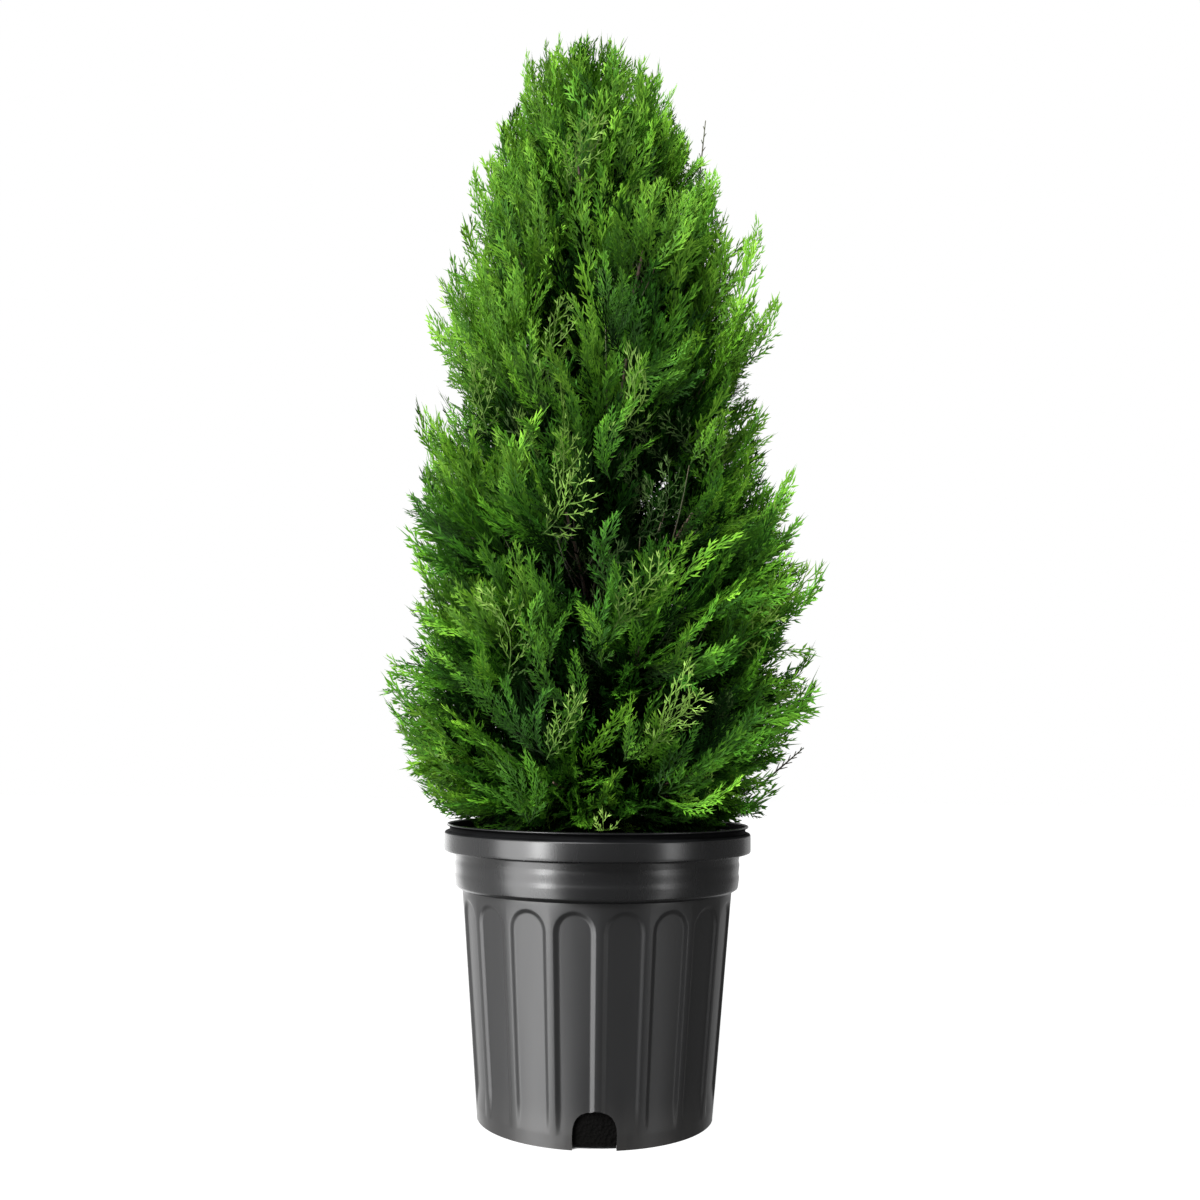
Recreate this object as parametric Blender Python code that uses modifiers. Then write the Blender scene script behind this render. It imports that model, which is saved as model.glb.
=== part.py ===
"""A potted thuja: a young conical evergreen in a fluted nursery container.

Metres, +Z up. The origin is the middle of the container's flat underside. The plant is one trunk, boughs on
its lower rings, and masses of foliage that each keep to their own wedge of the crown.
"""

import math
import random

import bmesh
import bpy
from mathutils import Matrix, Vector
from mathutils.bvhtree import BVHTree

# ---- driving dimensions ----------------------------------------------------------------------------------

CLEARANCE = 0.0003  # gap between pieces that touch

# Container: a moulded plastic pot with eighteen sunk panels and four drain notches.
POT_HEIGHT = 0.2785
RIM_RADIUS = 0.1525
LIP_RADIUS = 0.1505
COLLAR_RADIUS = 0.1418
BODY_TOP_RADIUS = 0.1335
BODY_FOOT_RADIUS = 0.1145
BODY_TOP_Z = 0.2150
FLOOR_THICKNESS = 0.0030
WALL_THICKNESS = 0.0042
POT_STEPS = 54

PANEL_COUNT = 18
PANEL_PITCH = 2 * math.pi / PANEL_COUNT
PANEL_FIRST = math.radians(-90 + 11.3)
PANEL_HALF_ANGLE = math.radians(8.8)
PANEL_SLOPE_ANGLE = math.radians(2.6)
PANEL_FOOT_Z = 0.0110
PANEL_TOP_Z = 0.2060
PANEL_DEPTH = 0.0024

DRAIN_COUNT = 4
DRAIN_HALF_WIDTH = 0.0200
DRAIN_HEIGHT = 0.0330
DRAIN_REACH = 0.0200

# Potting mix, filled to a little under the rim.
MIX_TOP = 0.2460
MIX_DOME = 0.0030

# Trunk: height, radius and sideways lean of its centre line.
TRUNK_FOOT = MIX_TOP + MIX_DOME + CLEARANCE
TRUNK_TIP = 0.9200
TRUNK_RADIUS = 0.0105
TRUNK_TIP_RADIUS = 0.0028
FLARE_RADIUS = 0.0165
FLARE_HEIGHT = 0.0350
TRUNK_LEAN = -0.0200
TRUNK_SWAY = 0.0040

# Crown: height and reach of the furthest tips on its left (-X) and right (+X), from the container's rim to the
# leader's tip. The front and the back lie between the two.
CROWN_TOP = 1.1340
CROWN_SPREAD = 1.04
TIP_LIMIT = 1.05
CROWN_LEFT = (
    (0.2720, 0.142),
    (0.2980, 0.174),
    (0.3700, 0.211),
    (0.4430, 0.228),
    (0.5050, 0.200),
    (0.5930, 0.213),
    (0.6440, 0.193),
    (0.7210, 0.199),
    (0.7600, 0.170),
    (0.8130, 0.190),
    (0.8660, 0.166),
    (0.9740, 0.148),
    (1.0290, 0.120),
    (1.1130, 0.089),
    (CROWN_TOP, 0.027),
)
CROWN_RIGHT = (
    (0.2720, 0.142),
    (0.2980, 0.166),
    (0.3700, 0.206),
    (0.4310, 0.229),
    (0.4800, 0.208),
    (0.5420, 0.231),
    (0.6180, 0.196),
    (0.6820, 0.182),
    (0.7340, 0.163),
    (0.8260, 0.185),
    (0.8660, 0.154),
    (0.9340, 0.165),
    (0.9740, 0.122),
    (1.0290, 0.109),
    (1.0850, 0.067),
    (CROWN_TOP, 0.007),
)

# Rings of foliage, lowest first: name, lower edge on the trunk, its rise in degrees, masses, first azimuth in
# degrees, and whether a bough carries each mass. A ring's upper edge is the lower edge of the next.
RINGS = (
    ("skirt", 0.2620, 8, 6, 12, False),
    ("low", 0.3300, 20, 6, -14, True),
    ("lower", 0.4200, 36, 6, 16, True),
    ("middle", 0.5200, 49, 5, -6, True),
    ("upper", 0.6300, 59, 4, 28, True),
    ("shoulder", 0.7450, 67, 3, 8, False),
    ("top", 0.8500, 73, 1, 0, False),
)
TOP_RING = len(RINGS) - 1
SPACE_GAP = 0.0012  # kept free on each side of the edge between two masses
TRUNK_GAP = 0.0015
GOLDEN_SHARE = 0.618034

# Foliage: how a mass is built from a stem, twigs and flat toothed sprays.
AXIS_BOW = 0.25
BOUGH_SHARE = 0.28
STEM_SHARE = 0.72
BOUGH_RADIUS = 0.0036
STEM_RADIUS = 0.0026
TWIG_RADIUS = 0.0016
TWIGS_PER_MASS = 7
TWIGS_ON_TOP = 11
SPRAY_LENGTH = 0.125
SPRAY_HALF_THICKNESS = 0.0110  # share of the spray's length
SPRAY_ROOT = 0.008
SPRAY_TRIES = ((1.0, 0), (1.0, 40), (1.0, -40), (0.85, 0), (0.85, 60), (0.7, 20), (0.7, -40))  # size, roll
SIDE_SPRAYS = ((38, 0, 0.15, 0.90), (44, 90, 0.40, 0.80))  # lean and side in degrees, place and size as shares
CORE_SIDES = 6
CORE_PLACE = 0.585
CORE_LONG = 0.275
CORE_FILL = 0.86
CORE_DROOP = 0.6
CORE_BLUNTNESS = 0.35  # power that fills out its ends, from 1 for an ellipsoid towards 0 for a block
CORE_CORNERS = 0.55  # the same for its section
CORE_LUMPS = 0.86
CORE_GAP = 0.003
TOP_CORE_RADIUS = 0.050

# A spray's outline for a length of one, from its root round one side to the tip: alternate teeth and notches.
SPRAY_SIDE = ((0.42, 0.29), (0.45, 0.16), (0.76, 0.23), (0.74, 0.09))
SPRAY_OTHER_SIDE = ((0.31, 0.24), (0.36, 0.15), (0.61, 0.28), (0.62, 0.12))
SPRAY_MIDDLE = 0.31


# ---- scene, materials and small helpers ------------------------------------------------------------------


def clear_scene():
    for item in list(bpy.data.objects):
        bpy.data.objects.remove(item)


def material(name, colour, roughness):
    made = bpy.data.materials.new(name)
    made.use_nodes = True
    shader = made.node_tree.nodes["Principled BSDF"]
    shader.inputs["Base Color"].default_value = (*colour, 1.0)
    shader.inputs["Roughness"].default_value = roughness
    return made


def collection(name):
    made = bpy.data.collections.new(name)
    bpy.context.scene.collection.children.link(made)
    return made


def object_of(name, mesh, home, finish=None):
    made = bpy.data.objects.new(name, mesh)
    home.objects.link(made)
    if finish:
        made.data.materials.append(finish)
    return made


def mesh_of(name, shape):
    """A mesh from a bmesh, with its faces turned outwards."""
    bmesh.ops.recalc_face_normals(shape, faces=shape.faces[:])
    made = bpy.data.meshes.new(name)
    shape.to_mesh(made)
    shape.free()
    return made


def evaluated_mesh(item):
    """The object's mesh with its modifiers applied."""
    bpy.context.view_layer.update()
    graph = bpy.context.evaluated_depsgraph_get()
    return bpy.data.meshes.new_from_object(item.evaluated_get(graph))


def keep_main_body(mesh):
    """Drops loose scraps and fills sealed hollows: only the body with the most corners stays."""
    shape = bmesh.new()
    shape.from_mesh(mesh)
    left = set(shape.verts)
    bodies = []
    while left:
        body = {left.pop()}
        front = set(body)
        while front:
            front = {edge.other_vert(v) for v in front for edge in v.link_edges} - body
            body |= front
        left -= body
        bodies.append(body)
    bodies.sort(key=len)
    extra = [v for body in bodies[:-1] for v in body]
    bmesh.ops.delete(shape, geom=extra, context="VERTS")
    shape.to_mesh(mesh)
    shape.free()


def solid_from_curve(curve_object):
    """The curve's tube as a mesh object, with its caps welded on."""
    name = curve_object.name
    home = curve_object.users_collection[0]
    mesh = evaluated_mesh(curve_object)
    shape = bmesh.new()
    shape.from_mesh(mesh)
    bmesh.ops.remove_doubles(shape, verts=shape.verts[:], dist=0.00001)
    shape.to_mesh(mesh)
    shape.free()
    bpy.data.objects.remove(curve_object)
    return object_of(name, mesh, home)


def trim(item, guard):
    """Cuts a guard's shape out of an object, for good."""
    cut = item.modifiers.new("trim", "BOOLEAN")
    cut.operation = "DIFFERENCE"
    cut.object = guard
    trimmed = evaluated_mesh(item)
    keep_main_body(trimmed)
    item.modifiers.clear()
    item.data = trimmed


def between(pairs, at):
    """Straight-line reading of a table of (place, value) pairs."""
    for (low, first), (high, last) in zip(pairs, pairs[1:]):
        if at <= high:
            share = max(0.0, (at - low) / (high - low))
            return first + (last - first) * share
    return pairs[-1][1]


# ---- container -------------------------------------------------------------------------------------------


def body_radius(z):
    return BODY_FOOT_RADIUS + (BODY_TOP_RADIUS - BODY_FOOT_RADIUS) * z / BODY_TOP_Z


def pot_profile():
    """Radius and height, from the middle of the floor up the inside, over the lip and down the outside."""
    inside = [
        (0.0, FLOOR_THICKNESS),
        (body_radius(FLOOR_THICKNESS) - WALL_THICKNESS, FLOOR_THICKNESS),
        (BODY_TOP_RADIUS - WALL_THICKNESS, BODY_TOP_Z - 0.002),
        (COLLAR_RADIUS - 0.0030, 0.2510),
        (LIP_RADIUS - 0.0060, 0.2570),
        (LIP_RADIUS - 0.0030, POT_HEIGHT),
    ]
    lip = [
        (LIP_RADIUS, POT_HEIGHT),
        (LIP_RADIUS - 0.0032, 0.2755),
        (LIP_RADIUS - 0.0032, 0.2722),
        (RIM_RADIUS - 0.0015, 0.2712),
        (RIM_RADIUS, 0.2697),
    ]
    band = [
        (RIM_RADIUS, 0.2555),
        (RIM_RADIUS - 0.0020, 0.2532),
        (COLLAR_RADIUS + 0.0008, 0.2520),
    ]
    collar = [
        (COLLAR_RADIUS, 0.2440),
        (COLLAR_RADIUS - 0.0009, 0.2430),
        (COLLAR_RADIUS - 0.0014, 0.2326),
        (COLLAR_RADIUS - 0.0023, 0.2316),
        (COLLAR_RADIUS - 0.0030, 0.2200),
        (BODY_TOP_RADIUS, BODY_TOP_Z),
    ]
    foot = [
        (BODY_FOOT_RADIUS, 0.0),
        (0.0, 0.0),
    ]
    return inside + lip + band + collar + foot


def turned(name, profile, steps, home, finish=None):
    """A profile at +X turned about the Z axis."""
    shape = bmesh.new()
    rail = [shape.verts.new((radius, 0.0, z)) for radius, z in profile]
    for a, b in zip(rail, rail[1:]):
        shape.edges.new((a, b))
    mesh = bpy.data.meshes.new(name)
    shape.to_mesh(mesh)
    shape.free()
    made = object_of(name, mesh, home, finish)
    screw = made.modifiers.new("turn", "SCREW")
    screw.steps = steps
    screw.render_steps = steps
    screw.use_merge_vertices = True
    screw.merge_threshold = 0.00002
    return made


def panel_outline(half_angle, foot_z, top_z):
    """Angle and height round an upright panel with an arched top."""
    arch_rise = half_angle * BODY_TOP_RADIUS
    spring = top_z - arch_rise
    points = [(-half_angle, foot_z), (half_angle, foot_z)]
    arch_steps = 6
    for i in range(arch_steps + 1):
        turn = math.pi * i / arch_steps
        points.append((half_angle * math.cos(turn), spring + arch_rise * math.sin(turn)))
    return points


def panel_cutter(home, finish):
    """The sunk space of one panel, facing +X: sloping sides down to a floor that follows the wall."""
    overrun = 0.0040
    slope = PANEL_SLOPE_ANGLE / PANEL_DEPTH
    shape = bmesh.new()
    rings = []
    for depth in (-overrun, PANEL_DEPTH + overrun):
        half = PANEL_HALF_ANGLE - slope * depth
        inset = depth * slope * BODY_TOP_RADIUS
        outline = panel_outline(half, PANEL_FOOT_Z + inset, PANEL_TOP_Z - inset)
        ring = []
        for angle, z in outline:
            radius = body_radius(z) - depth
            ring.append(shape.verts.new((radius * math.cos(angle), radius * math.sin(angle), z)))
        shape.faces.new(ring)
        rings.append(ring)
    outer, inner = rings
    for i in range(len(outer)):
        j = (i + 1) % len(outer)
        shape.faces.new((outer[i], outer[j], inner[j], inner[i]))
    cutter = object_of("panel_cutter", mesh_of("panel_cutter", shape), home, finish)
    core = [
        (0.0, BODY_TOP_Z + 0.01),
        (body_radius(BODY_TOP_Z + 0.01) - PANEL_DEPTH, BODY_TOP_Z + 0.01),
        (body_radius(-0.01) - PANEL_DEPTH, -0.01),
        (0.0, -0.01),
    ]
    core_object = turned("panel_core", core, POT_STEPS, home)
    cut = cutter.modifiers.new("floor", "BOOLEAN")
    cut.operation = "DIFFERENCE"
    cut.object = core_object
    mesh = evaluated_mesh(cutter)
    bpy.data.objects.remove(cutter)
    bpy.data.objects.remove(core_object)
    return mesh


def drain_cutter():
    """An arched notch through the foot of the wall and the edge of the floor, facing +X."""
    shape = bmesh.new()
    arch_steps = 8
    outline = [(-DRAIN_HALF_WIDTH, -0.005), (DRAIN_HALF_WIDTH, -0.005)]
    spring = DRAIN_HEIGHT * 0.42
    for i in range(arch_steps + 1):
        turn = math.pi * i / arch_steps
        flat = math.sin(turn) ** 0.75
        outline.append((DRAIN_HALF_WIDTH * math.cos(turn), spring + (DRAIN_HEIGHT - spring) * flat))
    inside = BODY_FOOT_RADIUS - DRAIN_REACH
    face = shape.faces.new([shape.verts.new((inside, y, z)) for y, z in outline])
    pushed = bmesh.ops.extrude_face_region(shape, geom=[face])["geom"]
    corners = [item for item in pushed if isinstance(item, bmesh.types.BMVert)]
    bmesh.ops.translate(shape, verts=corners, vec=(DRAIN_REACH + 0.02, 0, 0))
    return mesh_of("drain_cutter", shape)


def make_pot(home, cutters, finish):
    pot = turned("pot", pot_profile(), POT_STEPS, home, finish)
    panel = panel_cutter(cutters, finish)
    drain = drain_cutter()
    places = [(panel, PANEL_FIRST + i * PANEL_PITCH) for i in range(PANEL_COUNT)]
    places += [(drain, -math.pi / 2 + i * 2 * math.pi / DRAIN_COUNT) for i in range(DRAIN_COUNT)]
    for number, (mesh, azimuth) in enumerate(places):
        cutter = object_of(f"pot_cutter_{number}", mesh, cutters)
        cutter.rotation_euler = (0, 0, azimuth)
        cutter.hide_render = True
        cutter.display_type = "WIRE"
    cut = pot.modifiers.new("panels_and_drains", "BOOLEAN")
    cut.operation = "DIFFERENCE"
    cut.operand_type = "COLLECTION"
    cut.collection = cutters
    return pot


def make_potting_mix(home, finish):
    """The filled inside of the pot, with a slightly domed top."""
    shoulder = (BODY_TOP_RADIUS - WALL_THICKNESS, BODY_TOP_Z - 0.002)
    wall_top = (COLLAR_RADIUS - 0.0030, 0.2510)
    share = (MIX_TOP - shoulder[1]) / (wall_top[1] - shoulder[1])
    top_radius = shoulder[0] + (wall_top[0] - shoulder[0]) * share
    inset = 2 * CLEARANCE
    profile = [
        (0.0, MIX_TOP + MIX_DOME),
        (0.045, MIX_TOP + MIX_DOME),
        (0.100, MIX_TOP + MIX_DOME * 0.5),
        (top_radius - inset, MIX_TOP),
        (shoulder[0] - inset, shoulder[1]),
        (body_radius(FLOOR_THICKNESS) - WALL_THICKNESS - inset, FLOOR_THICKNESS + CLEARANCE),
        (0.0, FLOOR_THICKNESS + CLEARANCE),
    ]
    return turned("potting_mix", profile, POT_STEPS, home, finish)


# ---- trunk and the crown's measures ----------------------------------------------------------------------


def trunk_centre(z):
    share = (z - TRUNK_FOOT) / (CROWN_TOP - TRUNK_FOOT)
    sway = TRUNK_SWAY * math.sin(2.6 * math.pi * share)
    return Vector((TRUNK_LEAN * share ** 1.5 if share > 0 else 0.0, sway, z))


def trunk_radius(z):
    share = (z - TRUNK_FOOT) / (TRUNK_TIP - TRUNK_FOOT)
    flare = max(0.0, 1 - (z - TRUNK_FOOT) / FLARE_HEIGHT)
    plain = TRUNK_RADIUS + (TRUNK_TIP_RADIUS - TRUNK_RADIUS) * share
    return plain + (FLARE_RADIUS - TRUNK_RADIUS) * flare ** 2


def tube(name, points, radii, sides_step, home, finish=None):
    """A tapering limb along a line of points."""
    curve = bpy.data.curves.new(name, "CURVE")
    curve.dimensions = "3D"
    curve.bevel_depth = 1.0
    curve.bevel_resolution = sides_step
    curve.use_fill_caps = True
    line = curve.splines.new("POLY")
    line.points.add(len(points) - 1)
    for knot, point, radius in zip(line.points, points, radii):
        knot.co = (*point, 1.0)
        knot.radius = radius
    return object_of(name, curve, home, finish)


def trunk_tube(name, extra, home, finish=None):
    heights = [TRUNK_FOOT + FLARE_HEIGHT * share for share in (0.0, 0.25, 0.6, 1.0)]
    steps = 9
    first = heights[-1]
    heights += [first + (TRUNK_TIP - first) * i / steps for i in range(1, steps + 1)]
    points = [trunk_centre(z) for z in heights]
    points[0] = points[1] + Vector((0, 0, heights[0] - heights[1]))
    return tube(name, points, [trunk_radius(z) + extra for z in heights], 2, home, finish)


def crown_radius(z, azimuth):
    """Reach of the crown at a height, blended from its two sides round the front and the back."""
    right = (1 + math.cos(azimuth)) / 2
    return (between(CROWN_LEFT, z) * (1 - right) + between(CROWN_RIGHT, z) * right) * CROWN_SPREAD


def ring_edge(ring):
    """Height on the axis and rise of a ring's lower edge."""
    _, height, rise, *_ = RINGS[ring]
    return height, math.radians(rise)


def ring_middle(ring, share):
    """Height on the axis and slope of the surface at a share of the way up through a ring."""
    low, low_rise = ring_edge(ring)
    high, high_rise = ring_edge(ring + 1)
    return low + (high - low) * share, math.tan(low_rise + (high_rise - low_rise) * share)


def on_outline(ring, share, azimuth, reach=1.0):
    """The point where a ring's surface meets the crown's outline."""
    height, slope = ring_middle(ring, share)
    radius = 0.1
    for _ in range(30):
        radius = (radius + crown_radius(height + radius * slope, azimuth)) / 2
    radius *= reach
    return Vector((radius * math.cos(azimuth), radius * math.sin(azimuth), height + radius * slope))


class Mass:
    """One mass of foliage: its place in the crown, its space and its line from the trunk to its tip."""

    def __init__(self, ring, number):
        name, _, _, count, first, self.has_bough = RINGS[ring]
        self.name = f"foliage_{name}_{number + 1}" if count > 1 else f"foliage_{name}"
        self.bough_name = f"bough_{name}_{number + 1}"
        self.ring = ring
        self.is_top = ring == TOP_RING
        self.dice = random.Random(100 * ring + number)
        self.azimuth = math.radians(first) + number * 2 * math.pi / count
        self.half_angle = math.pi / count
        if self.is_top:
            self.start = trunk_centre(TRUNK_TIP + CLEARANCE)
            self.end = trunk_centre(CROWN_TOP - 0.006)
            return
        height, _ = ring_middle(ring, self.dice.uniform(0.40, 0.55))
        self.end = on_outline(ring, self.dice.uniform(0.45, 0.60), self.azimuth)
        self.start = trunk_centre(height)

    def along(self, share):
        """A point on the mass's line, which bends upwards on its way out."""
        line = self.end - self.start
        rise = 0.0 if self.is_top else AXIS_BOW * line.z * (share * share - share)
        return self.start + line * share + Vector((0, 0, rise))

    def holds(self, point, gap=SPACE_GAP):
        """Whether a point lies in this mass's own space, clear of its neighbours' and of the trunk."""
        radius = math.hypot(point.x, point.y)
        low, low_rise = ring_edge(self.ring)
        if (point.z - low - radius * math.tan(low_rise)) * math.cos(low_rise) < gap:
            return False
        if point.z > CROWN_TOP or radius > crown_radius(point.z, math.atan2(point.y, point.x)) * TIP_LIMIT:
            return False
        aside = point - trunk_centre(point.z)
        if point.z < TRUNK_TIP + 0.004 and aside.length < trunk_radius(point.z) + TRUNK_GAP:
            return False
        if self.is_top:
            return True
        high, high_rise = ring_edge(self.ring + 1)
        if (high + radius * math.tan(high_rise) - point.z) * math.cos(high_rise) < gap:
            return False
        turn = (math.atan2(aside.y, aside.x) - self.azimuth + math.pi) % (2 * math.pi) - math.pi
        return abs(turn) < self.half_angle and aside.length * math.sin(self.half_angle - abs(turn)) > gap

    def twigs(self):
        """Each twig as its root on the stem and the far tip that its last spray reaches."""
        count = TWIGS_ON_TOP if self.is_top else TWIGS_PER_MASS
        shift = self.dice.random()
        plan = []
        for i in range(count):
            step = (i + 0.5) / count
            aside = 2 * ((i * GOLDEN_SHARE + shift) % 1.0) - 1
            reach = self.dice.uniform(0.97, 1.03)
            if self.is_top:
                root = self.along(0.05 + 0.65 * step)
                azimuth = (i * GOLDEN_SHARE + shift) * 2 * math.pi
                z = root.z + 0.085 + 0.02 * aside
                radius = crown_radius(z, azimuth) * reach
                tip = Vector((radius * math.cos(azimuth), radius * math.sin(azimuth), z))
            else:
                root = self.along(BOUGH_SHARE + 0.06 + (STEM_SHARE - BOUGH_SHARE - 0.10) * step)
                azimuth = self.azimuth + aside * self.half_angle * 0.80
                tip = on_outline(self.ring, 0.16 + 0.72 * step, azimuth, reach)
            plan.append((root, tip))
        return plan


# ---- the pieces of a mass --------------------------------------------------------------------------------


def frame_along(origin, direction, across):
    """The matrix that lays local X along a direction, with local Y as near to across as it can be."""
    x = direction.normalized()
    z = x.cross(across).normalized()
    y = z.cross(x)
    return Matrix.Translation(origin) @ Matrix((x, y, z)).transposed().to_4x4()


def cone_between(name, start, end, start_radius, end_radius, home):
    """A tapering three-sided twig."""
    shape = bmesh.new()
    length = (end - start).length
    bmesh.ops.create_cone(
        shape, cap_ends=True, segments=3, radius1=start_radius, radius2=end_radius, depth=length
    )
    bmesh.ops.translate(shape, verts=shape.verts[:], vec=(0, 0, length / 2))
    turn = (end - start).to_track_quat("Z", "Y").to_matrix().to_4x4()
    bmesh.ops.transform(shape, matrix=Matrix.Translation(start) @ turn, verts=shape.verts[:])
    return object_of(name, mesh_of(name, shape), home)


def spray_outline():
    near = [(x, -y) for x, y in SPRAY_SIDE]
    far = list(reversed(SPRAY_OTHER_SIDE))
    return [(0.0, 0.0), *near, (1.0, 0.0), *far]


def spray_mesh(matrix, length):
    """A flat toothed spray: a two-pole sphere whose one ring is drawn out to the spray's outline."""
    outline = spray_outline()
    shape = bmesh.new()
    bmesh.ops.create_uvsphere(shape, u_segments=len(outline), v_segments=2, radius=1.0)
    ring = sorted((v for v in shape.verts if abs(v.co.z) < 0.5), key=lambda v: math.atan2(v.co.y, v.co.x))
    middle = Vector((SPRAY_MIDDLE, 0.0, 0.0))
    around = sorted(outline, key=lambda p: math.atan2(p[1], p[0] - SPRAY_MIDDLE))
    poles = [v for v in shape.verts if abs(v.co.z) >= 0.5]
    for corner, (x, y) in zip(ring, around):
        corner.co = (x, y, 0.0)
    for pole in poles:
        side = math.copysign(SPRAY_HALF_THICKNESS, pole.co.z)
        pole.co = middle + Vector((0.0, 0.0, side))
    bmesh.ops.transform(shape, matrix=matrix @ Matrix.Scale(length, 4), verts=shape.verts[:])
    return mesh_of("spray", shape)


def fuller(value):
    """Pushes a share of -1 to 1 outwards, so that a round section fills its wedge."""
    return math.copysign(abs(value) ** CORE_CORNERS, value)


def core_point(mass, along, across, through):
    """A place in a mass's wedge: each of the three shares runs from -1 to 1 between the core's faces."""
    share = CORE_PLACE + CORE_LONG * along
    if mass.is_top:
        centre = trunk_centre(TRUNK_TIP + (CROWN_TOP - TRUNK_TIP) * (0.45 + 0.40 * along))
        width = TOP_CORE_RADIUS * (1 - 0.45 * along)
        return centre + Vector((across * width, through * width, 0.0))
    azimuth = mass.azimuth + across * CORE_FILL * mass.half_angle
    droop = CORE_DROOP * max(0.0, -along) ** 2
    return on_outline(mass.ring, 0.5 + 0.5 * CORE_FILL * (through - droop), azimuth, share)


def core_mesh(mass):
    """A lumpy core that the sprays stand out of: a sphere drawn out to fill the middle of the mass's wedge."""
    shape = bmesh.new()
    bmesh.ops.create_uvsphere(shape, u_segments=CORE_SIDES, v_segments=4, radius=1.0)
    centre = core_point(mass, 0.0, 0.0, 0.0)
    for corner in shape.verts:
        turn = math.atan2(corner.co.y, corner.co.x)
        is_end = abs(corner.co.z) > 0.99
        wide = 0.0 if is_end else math.hypot(corner.co.x, corner.co.y) ** CORE_BLUNTNESS
        wide *= mass.dice.uniform(CORE_LUMPS, 1.0)
        along = corner.co.z * mass.dice.uniform(CORE_LUMPS, 1.0)
        place = core_point(mass, along, fuller(math.cos(turn)) * wide, fuller(math.sin(turn)) * wide)
        while not mass.holds(place, gap=CORE_GAP) and (place - centre).length > 0.002:
            place = centre + (place - centre) * 0.92
        corner.co = place
    return mesh_of("core", shape)


def tree_of(mesh):
    return BVHTree.FromPolygons([v.co for v in mesh.vertices], [p.vertices for p in mesh.polygons])


def mesh_stays_in(mass, mesh):
    """Whether every corner and the middle of every edge lie in the mass's space."""
    corners = [v.co for v in mesh.vertices]
    middles = [(corners[a] + corners[b]) / 2 for a, b in (edge.vertices for edge in mesh.edges)]
    return all(mass.holds(point) for point in corners + middles)


class Sprays:
    """The sprays of one mass that stay in its space and clear of the sprays already there."""

    def __init__(self, mass, home, bough):
        self.mass = mass
        self.home = home
        self.trees = [bough] if bough else []

    def add(self, root, direction, length, across):
        for shrink, roll in SPRAY_TRIES:
            turned_across = Matrix.Rotation(math.radians(roll), 3, direction) @ across
            mesh = spray_mesh(frame_along(root, direction, turned_across), length * shrink)
            tree = tree_of(mesh)
            if mesh_stays_in(self.mass, mesh) and not any(tree.overlap(other) for other in self.trees):
                self.trees.append(tree)
                object_of("spray", mesh, self.home)
                return True
            bpy.data.meshes.remove(mesh)
        return False


def make_twig(mass, number, root, tip, sprays, home):
    """A twig with a spray at its end and others to its sides, most of them facing outwards."""
    way = (tip - root).normalized()
    span = (tip - root).length
    length = min(SPRAY_LENGTH * mass.dice.uniform(0.92, 1.12), span * 0.9)
    azimuth = math.atan2(tip.y, tip.x)
    tangent = Vector((-math.sin(azimuth), math.cos(azimuth), 0.0))
    across = Matrix.Rotation(mass.dice.uniform(-1.1, 1.1), 3, way) @ tangent
    base = tip - way * length
    added = sprays.add(base, way, length, across)
    for lean, side, back, share in SIDE_SPRAYS:
        hinge = Matrix.Rotation(math.radians(side), 3, way) @ way.cross(across)
        lean *= mass.dice.choice((-1, 1))
        aslant = Matrix.Rotation(math.radians(lean), 3, hinge) @ way
        at = base - way * (span - length) * back - aslant * SPRAY_ROOT
        turned_across = Matrix.Rotation(mass.dice.uniform(0.8, 2.0), 3, aslant) @ across
        added = sprays.add(at, aslant, length * share, turned_across) or added
    if added:
        end = base + way * SPRAY_ROOT * 2.5
        cone_between(f"twig_{number}", root, end, TWIG_RADIUS, TWIG_RADIUS * 0.6, home)


def is_closed(mesh):
    shape = bmesh.new()
    shape.from_mesh(mesh)
    closed = all(edge.is_manifold for edge in shape.edges)
    shape.free()
    return closed


def fuse(stem, pieces):
    """One union of the stem with its pieces. Where it doesn't close, the last spray is left out."""
    join = stem.modifiers.new("fuse", "BOOLEAN")
    join.operation = "UNION"
    join.operand_type = "COLLECTION"
    join.collection = pieces
    fused = evaluated_mesh(stem)
    keep_main_body(fused)
    while not is_closed(fused):
        bpy.data.objects.remove(pieces.objects[-1])
        fused = evaluated_mesh(stem)
        keep_main_body(fused)
    stem.modifiers.clear()
    stem.data = fused
    for item in list(pieces.objects):
        bpy.data.objects.remove(item)
    bpy.data.collections.remove(pieces)


def make_mass(mass, home, finish, bough, guard):
    """A stem with its core, twigs and sprays, made one solid."""
    pieces = collection(f"{mass.name}_pieces")
    first = BOUGH_SHARE if mass.has_bough else 0.0
    start, middle, end = (mass.along(share) for share in (first, (first + STEM_SHARE) / 2, STEM_SHARE))
    if mass.has_bough:
        start = start + (middle - start).normalized() * CLEARANCE * 1.5
    elbow = middle - (end - middle) * 0.08
    cone_between("stem_outer", elbow, end, STEM_RADIUS * 0.9, STEM_RADIUS * 0.5, pieces)
    object_of("core", core_mesh(mass), pieces)
    sprays = Sprays(mass, pieces, bough)
    for number, (root, tip) in enumerate(mass.twigs()):
        make_twig(mass, number, root, tip, sprays, pieces)
    stem = cone_between(mass.name, start, middle, STEM_RADIUS, STEM_RADIUS * 0.8, home)
    fuse(stem, pieces)
    if not mass.has_bough:
        trim(stem, guard)
    stem.data.materials.append(finish)
    return stem


def bough_tube(mass, name, home, extra=0.0):
    shares = [BOUGH_SHARE * i / 4 for i in range(5)]
    points = [mass.along(share) for share in shares]
    radii = [BOUGH_RADIUS * (1 - 0.35 * share / BOUGH_SHARE) + extra for share in shares]
    return solid_from_curve(tube(name, points, radii, 1, home))


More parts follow.
